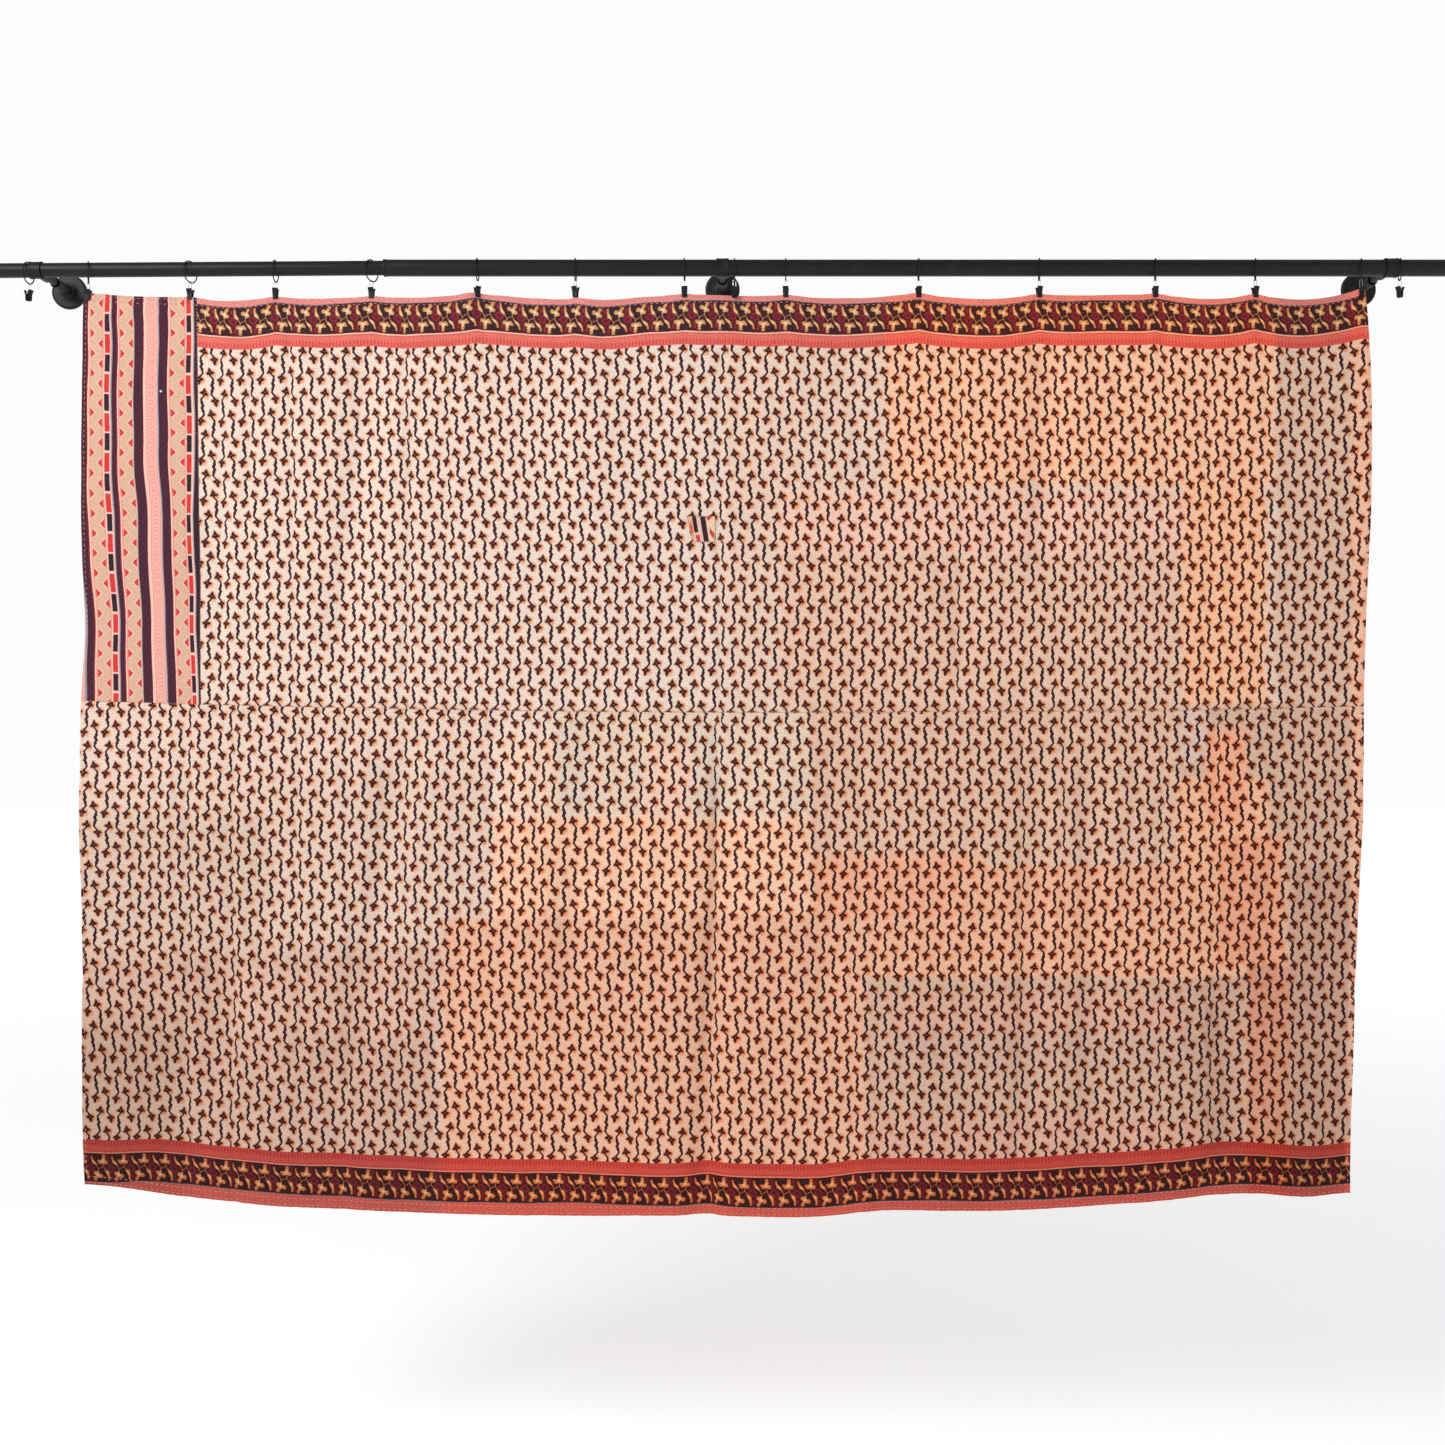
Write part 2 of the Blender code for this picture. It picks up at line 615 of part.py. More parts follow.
def main():
    for existing in list(bpy.data.objects):
        bpy.data.objects.remove(existing)
    quilt = bpy.data.collections.new("kantha_quilt")
    cutters = bpy.data.collections.new("cutters")
    bpy.context.scene.collection.children.link(quilt)
    bpy.context.scene.collection.children.link(cutters)
    make_upper_panel(quilt)
    make_striped_panel(quilt)
    make_lower_panel(quilt)
    make_patch(quilt)
    make_rods(quilt)
    for name, x in BRACKETS:
        make_bracket(name, x, quilt, cutters)
    make_hangers(quilt)


main()
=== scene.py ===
# %% [markdown]
# # A kantha quilt clipped to a wall rod
#
# The object is a hand-quilted cloth of printed cotton, about 2 m wide, that hangs by spring clips
# from the rings of a black rod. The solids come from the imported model. This lesson gives them their
# looks: finer metal pieces, thin sheets for the cloth, and prints that are drawn by node maths.
#
# Everything is in metres, x runs along the rod, the wall is the plane y = 0 and z points up.

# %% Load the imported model
import math
from collections import namedtuple

import bmesh
import bpy
import numpy as np
from mathutils import Matrix, Vector


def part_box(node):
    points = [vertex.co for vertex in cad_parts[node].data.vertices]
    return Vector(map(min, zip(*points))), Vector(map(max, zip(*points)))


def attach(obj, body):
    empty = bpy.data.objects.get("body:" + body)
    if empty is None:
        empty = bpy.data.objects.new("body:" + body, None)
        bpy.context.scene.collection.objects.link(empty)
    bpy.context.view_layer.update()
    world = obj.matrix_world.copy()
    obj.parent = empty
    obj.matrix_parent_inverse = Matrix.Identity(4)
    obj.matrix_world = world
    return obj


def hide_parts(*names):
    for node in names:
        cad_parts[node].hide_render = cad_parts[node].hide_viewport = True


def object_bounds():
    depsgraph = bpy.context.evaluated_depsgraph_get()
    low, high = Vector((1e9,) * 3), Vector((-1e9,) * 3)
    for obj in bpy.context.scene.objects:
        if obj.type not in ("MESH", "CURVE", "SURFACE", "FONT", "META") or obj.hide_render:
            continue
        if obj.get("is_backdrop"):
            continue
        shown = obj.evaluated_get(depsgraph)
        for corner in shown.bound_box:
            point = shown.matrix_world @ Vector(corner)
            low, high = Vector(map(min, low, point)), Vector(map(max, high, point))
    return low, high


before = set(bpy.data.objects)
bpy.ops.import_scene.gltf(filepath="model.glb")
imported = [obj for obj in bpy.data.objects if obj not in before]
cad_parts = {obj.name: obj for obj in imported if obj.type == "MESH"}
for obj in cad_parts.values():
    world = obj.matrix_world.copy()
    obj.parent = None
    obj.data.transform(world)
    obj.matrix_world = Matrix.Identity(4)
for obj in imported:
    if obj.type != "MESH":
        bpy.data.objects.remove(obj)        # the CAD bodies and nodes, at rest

cad_box = [list(corner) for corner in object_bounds()]
print("nodes:", len(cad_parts), "box:", cad_box)

# %% [markdown]
# ## The camera
#
# The photograph was taken square on, from the middle of the quilt's height. A level camera that
# takes in 2.24 m at the rod gives the same frame, with no shift and no tilt.

# %% Set the camera
ROD_Y = -0.124
EYE_DISTANCE = 2.4
EYE_HEIGHT = -0.7045
VIEW_WIDTH = 2.24
SENSOR = 36.0


def make_camera():
    lens = bpy.data.cameras.new("camera")
    lens.sensor_width = SENSOR
    lens.lens = SENSOR * EYE_DISTANCE / VIEW_WIDTH
    camera = bpy.data.objects.new("camera", lens)
    camera.location = (0, ROD_Y - EYE_DISTANCE, EYE_HEIGHT)
    camera.rotation_euler = (math.radians(90), 0, 0)
    bpy.context.scene.collection.objects.link(camera)
    bpy.context.scene.camera = camera
    return camera


print("lens:", round(make_camera().data.lens, 2), "mm")

# %% [markdown]
# ## Finishes as expressions
#
# A finish is a material whose pattern is worked out by nodes. Written by hand, such a tree is long
# and hard to read, so two small classes let it be written as ordinary sums. `Value` stands for one
# socket, and each operator on it adds a Math node. `Finish` owns a material, and its one method
# `node` adds any other kind of node, with its settings first and its sockets after.

# %% Write the two classes


class Value:
    """A socket that Python's operators work on."""

    def __init__(self, finish, socket):
        self.finish = finish
        self.socket = socket

    def math(self, operation, first, second=0.0, third=0.0, clamp=False):
        settings = {"operation": operation, "use_clamp": clamp}
        return self.finish.node("ShaderNodeMath", settings, {0: first, 1: second, 2: third})

    def __add__(self, other):
        return self.math("ADD", self, other)

    def __radd__(self, other):
        return self.math("ADD", other, self)

    def __sub__(self, other):
        return self.math("SUBTRACT", self, other)

    def __rsub__(self, other):
        return self.math("SUBTRACT", other, self)

    def __mul__(self, other):
        return self.math("MULTIPLY", self, other)

    def __rmul__(self, other):
        return self.math("MULTIPLY", other, self)

    def __truediv__(self, other):
        return self.math("DIVIDE", self, other)

    def __abs__(self):
        return self.math("ABSOLUTE", self)


class Finish:
    """A material and the tools to build its tree."""

    dimensions = "3D"

    def __init__(self, name, **constants):
        self.material = bpy.data.materials.new(name)
        self.material.use_nodes = True
        self.tree = self.material.node_tree
        self.shader = self.tree.nodes["Principled BSDF"]
        for socket, value in constants.items():
            self.shader.inputs[socket.replace("_", " ")].default_value = value

    def node(self, kind, settings, inputs, output=0):
        made = self.tree.nodes.new(kind)
        for name, value in settings.items():
            if name == "stops":
                self.fill_ramp(made.color_ramp, value)
            elif name == "interpolation":
                made.color_ramp.interpolation = value
            else:
                setattr(made, name, value)
        for name, value in inputs.items():
            if isinstance(value, Value):
                self.tree.links.new(value.socket, made.inputs[name])
            else:
                made.inputs[name].default_value = value
        return Value(self, made.outputs[output])

    def fill_ramp(self, ramp, stops):
        for i, (position, colour) in enumerate(stops):
            stop = ramp.elements[i] if i < 2 else ramp.elements.new(position)
            stop.position = position
            stop.color = colour

    def vector(self, operation, first, second=(0, 0, 0)):
        output = 1 if operation in ("LENGTH", "DOT_PRODUCT", "DISTANCE") else 0
        return self.node("ShaderNodeVectorMath", {"operation": operation}, {0: first, 1: second}, output)

    def scaled(self, vector, scale):
        return self.node("ShaderNodeVectorMath", {"operation": "SCALE"}, {0: vector, "Scale": scale})

    def split(self, vector):
        parts = self.node("ShaderNodeSeparateXYZ", {}, {0: vector})
        sockets = parts.socket.node.outputs
        return Value(self, sockets[0]), Value(self, sockets[1])

    def mix(self, share, under, over, blend="MIX"):
        settings = {"data_type": "RGBA", "blend_type": blend}
        return self.node("ShaderNodeMix", settings, {0: share, 6: under, 7: over}, 2)

    def noise(self, point, scale, detail=2.0, output=0):
        sockets = {"Vector": point, "Scale": scale, "Detail": detail}
        return self.node("ShaderNodeTexNoise", {"noise_dimensions": self.dimensions}, sockets, output)

    def place(self):
        return self.node("ShaderNodeTexCoord", {}, {}, "Object")

    def feed(self, socket, value):
        self.tree.links.new(value.socket, self.shader.inputs[socket])

    def bump(self, height, strength=1.0):
        inputs = {"Height": height, "Strength": strength, "Distance": 1.0}
        self.feed("Normal", self.node("ShaderNodeBump", {}, inputs))


print("classes:", Value.__name__, Finish.__name__)

# %% [markdown]
# ## Colours and soft edges
#
# A dye is named as the eye sees it, from 0 to 255, and a shader reckons in linear light, so `ink`
# converts it. Cloth soaks up ink unevenly, so `inside` and `between` fade instead of stepping.

# %% Write the colour and edge helpers
INK_SOFT = 0.8                # how softly a printed edge fades, in millimetres


def ink(red, green, blue):
    """A colour as the eye names it, 0 to 255, made linear for the shader."""
    shares = [channel / 255 for channel in (red, green, blue)]
    return (*[s / 12.92 if s <= 0.04045 else ((s + 0.055) / 1.055) ** 2.4 for s in shares], 1.0)


def inside(distance, soft=INK_SOFT):
    """1 where a distance is below zero and 0 where it is above, over a soft edge."""
    return distance.math("MULTIPLY_ADD", distance, -1 / soft, 0.5, clamp=True)


def between(value, low, high, soft=INK_SOFT):
    """1 from low to high and 0 elsewhere."""
    return inside(abs(value - (low + high) / 2) - (high - low) / 2, soft)


def lesser(first, second):
    return first.math("MINIMUM", first, second)


def wrapped(value, low, high):
    """The value brought into the stretch from low to high, as a repeat does."""
    return value.math("WRAP", value, high, low)


print("a faded cream, made linear:", [round(channel, 3) for channel in ink(228, 205, 180)])

# %% [markdown]
# ## Stage and light
#
# The photograph is a white studio shot with soft light from the upper left. A pale floor, a pale
# world and two big soft lamps give the same even light, with just enough side light to show folds.

# %% Lay the floor and hang the lamps
FLOOR_HEIGHT = -1.95
FLOOR_SIZE = 40.0
FLOOR_FADES, FLOOR_GLOW = 4.0, 0.42
WORLD_LIGHT, WORLD_SEEN = 0.45, 0.985
QUILT_MIDDLE = Vector((0, ROD_Y, EYE_HEIGHT))
Lamp = namedtuple("Lamp", "name place size power")
LAMPS = (
    Lamp("key", (-2.6, -3.0, 1.5), 1.8, 118.0),
    Lamp("fill", (2.8, -3.2, 0.3), 2.4, 8.0),
)


def make_floor():
    bpy.ops.mesh.primitive_plane_add(size=FLOOR_SIZE, location=(0, 0, FLOOR_HEIGHT))
    floor = bpy.context.object
    floor.name = "floor"
    bpy.ops.object.transform_apply(location=True)
    paint = Finish("pale_floor", Roughness=0.8, Emission_Strength=1.0)
    spot = paint.place()
    worn = paint.noise(spot, 3.0)
    far = 1 - inside(paint.vector("LENGTH", spot) - FLOOR_FADES, FLOOR_FADES)
    near_colour = paint.mix(worn, ink(240, 240, 241), ink(245, 245, 245))
    paint.feed("Base Color", paint.mix(far, near_colour, (0, 0, 0, 1)))
    glow = [(level, level, level, 1) for level in (FLOOR_GLOW, WORLD_SEEN)]
    paint.feed("Emission Color", paint.mix(far, *glow))
    floor.data.materials.append(paint.material)
    floor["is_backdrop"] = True


def make_world():
    """A soft dim light from all round, before a backdrop that the camera sees as white paper."""
    world = bpy.data.worlds.new("studio")
    world.use_nodes = True
    nodes, links = world.node_tree.nodes, world.node_tree.links
    sky = nodes["Background"]
    sky.inputs["Color"].default_value = ink(254, 254, 255)
    seen = nodes.new("ShaderNodeLightPath")
    strength = nodes.new("ShaderNodeMapRange")
    strength.inputs["To Min"].default_value = WORLD_LIGHT
    strength.inputs["To Max"].default_value = WORLD_SEEN
    links.new(seen.outputs["Is Camera Ray"], strength.inputs["Value"])
    links.new(strength.outputs["Result"], sky.inputs["Strength"])
    bpy.context.scene.world = world


def make_lamp(lamp):
    light = bpy.data.lights.new(lamp.name, "AREA")
    light.size = lamp.size
    light.energy = lamp.power
    made = bpy.data.objects.new(lamp.name, light)
    made.location = lamp.place
    made.rotation_mode = "QUATERNION"
    made.rotation_quaternion = (QUILT_MIDDLE - made.location).to_track_quat("-Z", "Y")
    bpy.context.scene.collection.objects.link(made)


bpy.ops.object.select_all(action="DESELECT")
make_floor()
make_world()
for lamp in LAMPS:
    make_lamp(lamp)
bpy.context.scene.view_settings.view_transform = "Standard"
print("lamps:", len(LAMPS))

# %% [markdown]
# ## Metal finishes
#
# The rod, its brackets, the rings and the clips are black painted steel with a satin shine. Paint
# is never even: its gloss drifts, and handling leaves fine marks. The small wire loops under the
# rings are bright, so they are bare metal with a little haze.

# %% Mix the metals
BLACK_STEEL, BRIGHT_WIRE = "black_steel", "bright_wire"


def black_steel():
    paint = Finish("satin_black_steel", Metallic=0.0, Specular_IOR_Level=0.28)
    spot = paint.place()
    drift = paint.noise(spot, 14.0, 3.0)
    grain = paint.noise(spot, 900.0, 2.0)
    rubbed = inside(0.66 - paint.noise(spot, 55.0, 4.0), 0.08)
    paint.feed("Base Color", paint.mix(rubbed * 0.25, ink(11, 11, 12), ink(38, 36, 36)))
    paint.feed("Roughness", 0.4 + drift * 0.12 + grain * 0.05)
    paint.bump(grain * 0.00003)
    return paint.material


def bright_wire():
    paint = Finish("bright_wire", Metallic=1.0)
    spot = paint.place()
    haze = paint.noise(spot, 260.0, 3.0)
    paint.feed("Base Color", paint.mix(haze, ink(214, 214, 216), ink(176, 175, 174)))
    paint.feed("Roughness", 0.18 + haze * 0.2)
    paint.bump(haze * 0.00002)
    return paint.material


METALS = {BLACK_STEEL: black_steel(), BRIGHT_WIRE: bright_wire()}
print("metals:", sorted(METALS))

# %% [markdown]
# ## Modelling by operators
#
# A few habits keep operators safe in a script. Everything is deselected before a primitive is
# added. Shapes are made about the origin, then turned and moved, and the place is applied, so that
# a finished piece sits in its mesh and its object stays at the origin.

# %% Write the modelling helpers
SMOOTH_ANGLE = math.radians(35)
SAME_POINT = 0.00001          # points closer than this are merged
MOST_OF_SIDE = 0.45           # a rounding takes up at most this share of each side


def fresh():
    if bpy.context.object and bpy.context.object.mode != "OBJECT":
        bpy.ops.object.mode_set(mode="OBJECT")
    bpy.ops.object.select_all(action="DESELECT")


def edit(piece):
    bpy.context.view_layer.objects.active = piece
    bpy.ops.object.mode_set(mode="EDIT")


def close_up(piece):
    """Merges double points and turns every face outwards, then leaves edit mode."""
    edit(piece)
    bpy.ops.mesh.select_all(action="SELECT")
    bpy.ops.mesh.remove_doubles(threshold=SAME_POINT)
    bpy.ops.mesh.normals_make_consistent(inside=False)
    bpy.ops.object.mode_set(mode="OBJECT")


def apply_all(piece):
    bpy.context.view_layer.objects.active = piece
    for modifier in list(piece.modifiers):
        bpy.ops.object.modifier_apply(modifier=modifier.name)


def settled(piece, name, turn=(0, 0, 0), place=(0, 0, 0)):
    """Turns and moves a piece, applies its place and smooths it."""
    piece.name = name
    piece.rotation_euler = turn
    piece.location = place
    fresh()
    piece.select_set(True)
    bpy.context.view_layer.objects.active = piece
    bpy.ops.object.transform_apply(location=True, rotation=True, scale=True)
    bpy.ops.object.shade_smooth_by_angle(angle=SMOOTH_ANGLE)
    return piece


def dressed(piece, metal, *nodes):
    """Gives a finished piece its metal and its body, and hides the nodes that it stands for."""
    piece.data.materials.clear()
    piece.data.materials.append(METALS[metal])
    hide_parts(*nodes)
    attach(piece, "root")
    return piece


fresh()
print("pieces are smoothed below", round(math.degrees(SMOOTH_ANGLE)), "degrees")

# %% [markdown]
# ## Turned pieces
#
# Rods, flanges, collars and pins are turned, so each is described by half of its outline. Spin could
# sweep it round. Here a disc is extruded and scaled step by step, which closes both ends by itself.

# %% Write the turning helpers


def turned(profile, sides=56):
    """A disc at the profile's first (radius, height), drawn out by one extrusion for each row after it."""
    fresh()
    radius, height = profile[0]
    bpy.ops.mesh.primitive_circle_add(
        vertices=sides, radius=radius, fill_type="NGON", location=(0, 0, height))
    piece = bpy.context.object
    bpy.ops.object.transform_apply(location=True)
    edit(piece)
    bpy.ops.mesh.select_mode(type="FACE")
    bpy.ops.mesh.select_all(action="SELECT")
    for next_radius, next_height in profile[1:]:
        step = (0, 0, next_height - height)
        bpy.ops.mesh.extrude_region_move(TRANSFORM_OT_translate={"value": step})
        grow = next_radius / radius
        centre = (0, 0, next_height)
        bpy.ops.transform.resize(value=(grow, grow, 1), center_override=centre)
        radius, height = next_radius, next_height
    bpy.ops.object.mode_set(mode="OBJECT")
    close_up(piece)
    return piece


def rounded(corners, size, steps=3):
    """The profile with each corner but its ends replaced by a small curve of the given size."""
    points = [corners[0]]
    for before, corner, after in zip(corners, corners[1:], corners[2:]):
        corner, before, after = Vector(corner), Vector(before), Vector(after)
        back, ahead = before - corner, after - corner
        reach = min(size, back.length * MOST_OF_SIDE, ahead.length * MOST_OF_SIDE)
        start, end = corner + back.normalized() * reach, corner + ahead.normalized() * reach
        for i in range(steps + 1):
            t = i / steps
            points.append(start * (1 - t) ** 2 + corner * 2 * t * (1 - t) + end * t ** 2)
    return [tuple(point) for point in (*points, corners[-1])]


def joined(pieces, name):
    fresh()
    for piece in pieces:
        piece.select_set(True)
    bpy.context.view_layer.objects.active = pieces[0]
    bpy.ops.object.join()
    made = bpy.context.object
    made.name = name
    return made


def copied(model):
    piece = model.copy()
    piece.data = model.data.copy()
    bpy.context.scene.collection.objects.link(piece)
    return piece


def rows_of(kind, *rows):
    """A table whose columns have names."""
    return tuple(kind(*row) for row in rows)


print("corners of a rounded step:", len(rounded([(0, 0), (1, 0), (1, 1)], 0.1)))

# %% [markdown]
# ## The rod
#
# The rod is two tubes, the thin one sliding in the mouth of the thick one. Each is turned: a disc is
# extruded along the tube, and each change of width is one more extrusion. The thick tube's mouth is
# rolled into a small bead, and the free ends are closed by a cap with a round edge.

# %% Turn the two tubes
ROD_STEP = -0.525             # where the thin tube enters the thick one
THIN_RADIUS, THICK_RADIUS = 0.0111, 0.0127
THIN_SLOPE = 0.0069           # the thin tube sinks a little towards its free end
MOUTH_DEPTH = 0.03
MOUTH_CLEAR = 0.0004
BEAD_RISE, BEAD_LENGTH, BEAD_FOOT = 0.0006, 0.0034, 0.00476
CAP_ROUND = 0.0012
TINY = 0.0002                 # the radius that a turned piece closes on


def rod_radius(x):
    return THIN_RADIUS if x < ROD_STEP else THICK_RADIUS


def rod_height(x):
    return min(0.0, (x - ROD_STEP) * THIN_SLOPE)


def make_rods():
    left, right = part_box("rod_thin")[0].x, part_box("rod_thick")[1].x
    bore, bead = THIN_RADIUS + MOUTH_CLEAR, THICK_RADIUS + BEAD_RISE
    length = right - ROD_STEP
    mouth = rounded([
        (TINY, MOUTH_DEPTH), (bore, MOUTH_DEPTH), (bore, 0), (bead, 0), (bead, BEAD_LENGTH),
        (THICK_RADIUS, BEAD_FOOT), (THICK_RADIUS, length), (TINY, length),
    ], CAP_ROUND)
    upright = (0, math.radians(90), 0)
    thick = settled(turned(mouth), "thick_tube", upright, (ROD_STEP, ROD_Y, 0))
    dressed(thick, BLACK_STEEL, "rod_thick")
    reach = ROD_STEP + MOUTH_DEPTH - MOUTH_CLEAR - left
    cap = rounded([(TINY, 0), (THIN_RADIUS, 0), (THIN_RADIUS, reach), (TINY, reach)], CAP_ROUND)
    tilt = (0, math.radians(90) - math.atan(THIN_SLOPE), 0)
    thin = settled(turned(cap), "thin_tube", tilt, (left, ROD_Y, rod_height(left)))
    dressed(thin, BLACK_STEEL, "rod_thin")
    return thick, thin


for tube in make_rods():
    print(tube.name, len(tube.data.polygons), "faces", [round(side, 3) for side in tube.dimensions])

# %% [markdown]
# ## The brackets
#
# Each bracket holds the rod in a short collar. Behind it a branch, a thin neck, a stout arm and a
# stepped hub lead to the round wall flange. All but the collar is one turned piece. The arm's front
# end is an open bore around the neck, which shows as a dark ring. The collar is turned too, joined
# by a Boolean union, and a second Boolean cuts it free for the rod.

# %% Turn and join the brackets
COLLAR_LENGTH, COLLAR_WALL, COLLAR_CLEAR = 0.019, 0.0013, 0.0004
COLLAR_RIM, RIM_LENGTH, COLLAR_ROUND = 0.0005, 0.00228, 0.0003
BRANCH_RADIUS, BRANCH_START, BRANCH_END = 0.0084, 0.002, 0.038
NECK_RADIUS = 0.0055
ARM_RADIUS, ARM_START, ARM_END, ARM_TAPER = 0.0082, 0.066, 0.112, 0.001
BORE_RADIUS, BORE_DEPTH = 0.007, 0.007
HUB_RADIUS, HUB_END = 0.0125, 0.118
RIDGE_RADIUS, RIDGE_HEIGHT = 0.0158, 0.0012
FLANGE_RADIUS, FLANGE_STEP, FLANGE_SLOPE = 0.028, 0.0012, 0.003
STEM_ROUND = 0.0006
STEM_SIDES, COLLAR_SIDES = 48, 64


def stem_profile():
    wall = -ROD_Y
    return rounded([
        (TINY, wall), (FLANGE_RADIUS, wall), (FLANGE_RADIUS, HUB_END + FLANGE_STEP),
        (FLANGE_RADIUS - FLANGE_SLOPE, HUB_END), (RIDGE_RADIUS, HUB_END),
        (RIDGE_RADIUS, HUB_END - RIDGE_HEIGHT), (HUB_RADIUS, HUB_END - RIDGE_HEIGHT),
        (HUB_RADIUS, ARM_END), (ARM_RADIUS, ARM_END - ARM_TAPER), (ARM_RADIUS, ARM_START),
        (BORE_RADIUS, ARM_START), (BORE_RADIUS, ARM_START + BORE_DEPTH),
        (NECK_RADIUS, ARM_START + BORE_DEPTH), (NECK_RADIUS, BRANCH_END),
        (BRANCH_RADIUS, BRANCH_END), (BRANCH_RADIUS, BRANCH_START), (TINY, BRANCH_START),
    ], STEM_ROUND)


def collar_profile(radius):
    half, inner = COLLAR_LENGTH / 2, COLLAR_LENGTH / 2 - RIM_LENGTH
    outer = radius + COLLAR_CLEAR + COLLAR_WALL
    rim = outer + COLLAR_RIM
    return rounded([
        (TINY, -half), (rim, -half), (rim, -inner), (outer, -inner),
        (outer, inner), (rim, inner), (rim, half), (TINY, half),
    ], COLLAR_ROUND)


def boolean(piece, tool, operation):
    cut = piece.modifiers.new(operation, "BOOLEAN")
    cut.operation = operation
    cut.object = tool
    cut.solver = "EXACT"
    apply_all(piece)
    bpy.data.objects.remove(tool)


def make_bracket(node):
    low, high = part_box(node)
    x = (low.x + high.x) / 2
    place = (x, ROD_Y, rod_height(x))
    radius = rod_radius(x)
    tilt = math.atan(THIN_SLOPE) if x < ROD_STEP else 0.0
    along = (0, math.radians(90) - tilt, 0)
    backward = (math.radians(-90), 0, 0)
    piece = settled(turned(stem_profile(), STEM_SIDES), node + "_steel", backward, place)
    collar = settled(turned(collar_profile(radius), COLLAR_SIDES), "collar", along, place)
    boolean(piece, collar, "UNION")
    bore = [(radius + COLLAR_CLEAR, end) for end in (-COLLAR_LENGTH, COLLAR_LENGTH)]
    boolean(piece, settled(turned(bore, COLLAR_SIDES), "bore", along, place), "DIFFERENCE")
    close_up(piece)
    settled(piece, piece.name)
    return dressed(piece, BLACK_STEEL, node)


for bracket in ("bracket_left", "bracket_middle", "bracket_right"):
    piece = make_bracket(bracket)
    print(piece.name, len(piece.data.polygons), "faces", [round(side, 4) for side in piece.dimensions])

# %% [markdown]
# ## Rings, loops and clips
#
# Sixteen rings ride on the rod. Thirteen carry the quilt and three hang free. From each ring a thin
# bright loop holds a small spring clip: two stamped jaws, bent outwards at the top for the fingers,
# a pin, and a spring coil around it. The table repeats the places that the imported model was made
# with, so every fine piece lies where its solid is.

# %% Name the rings' places
GAP = 0.0003
RING_RADIUS, RING_WIRE = 0.0165, 0.001
BAIL_WIRE, BAIL_HALF_WIDTH, BAIL_SHOWS, BAIL_FOLLOWS = 0.0004, 0.0022, 0.0086, 0.4
CLIP_HEIGHT, CLIP_TOP_WIDTH, CLIP_FOOT_WIDTH = 0.0177, 0.009, 0.0076
CLIP_OPEN, CLIP_WALL, NOTCH_DEPTH, SLOT_DEPTH = 0.0058, 0.0011, 0.0065, 0.009
QUILT_THICK = 0.0022
Ring = namedtuple("Ring", "x ring_turn clip_turn grip bay_low bay_back")
RINGS = rows_of(
    Ring, (-1.0755, 5, 62, 0.0, 0.0, 0.0), (-0.983, -20, 6, 0.0068, -0.0473, 0.003),
    (-0.825, 18, -9, 0.0058, -0.0512, -0.003), (-0.693, 0, 7, 0.005, -0.0488, 0.004),
    (-0.544, 24, -6, 0.005, -0.0473, -0.002), (-0.38, 0, 26, 0.0046, -0.0484, 0.004),
    (-0.228, 0, -24, 0.0046, -0.0504, 0.005), (-0.059, 2, 5, 0.006, -0.0457, 0.0068),
    (0.0186, 0, 12, 0.0, 0.0, 0.0), (0.098, 2, -6, 0.0052, -0.0488, 0.004),
    (0.304, 3, 4, 0.0073, -0.0488, -0.003), (0.491, 7, 8, 0.0068, -0.0457, 0.003),
    (0.671, 11, -5, 0.0073, -0.0473, -0.003), (0.826, 15, 7, 0.0068, -0.0527, 0.005),
    (0.99, 18, 4, 0.0076, 0.0, 0.0), (1.05, 14, -58, 0.0, 0.0, 0.0),
)


def ring_height(ring):
    top = rod_height(ring.x) + rod_radius(ring.x) + GAP
    return top - (RING_RADIUS - RING_WIRE)


def clip_top(ring):
    return ring_height(ring) - RING_RADIUS - RING_WIRE - BAIL_SHOWS


HOLDERS = [ring for ring in RINGS if ring.grip > 0]
print("rings:", len(RINGS), "of which", len(HOLDERS), "carry the quilt")

# %% [markdown]
# ## One ring and its loop
#
# A ring is wire bent round and welded, so a torus has its shape at once. The loop's path is a curve
# with a round bevel, which keeps the wire's thickness even around the bend.

# %% Model one ring and one loop
RING_FLAT = 0.94              # the ring's wire is a little flattened


def model_ring():
    fresh()
    bpy.ops.mesh.primitive_torus_add(
        major_radius=RING_RADIUS, minor_radius=RING_WIRE, major_segments=72, minor_segments=12)
    ring = bpy.context.object
    edit(ring)
    bpy.ops.mesh.select_all(action="SELECT")
    bpy.ops.transform.resize(value=(1, 1, RING_FLAT), center_override=(0, 0, 0))
    bpy.ops.object.mode_set(mode="OBJECT")
    return settled(ring, "ring", (0, math.radians(90), 0))


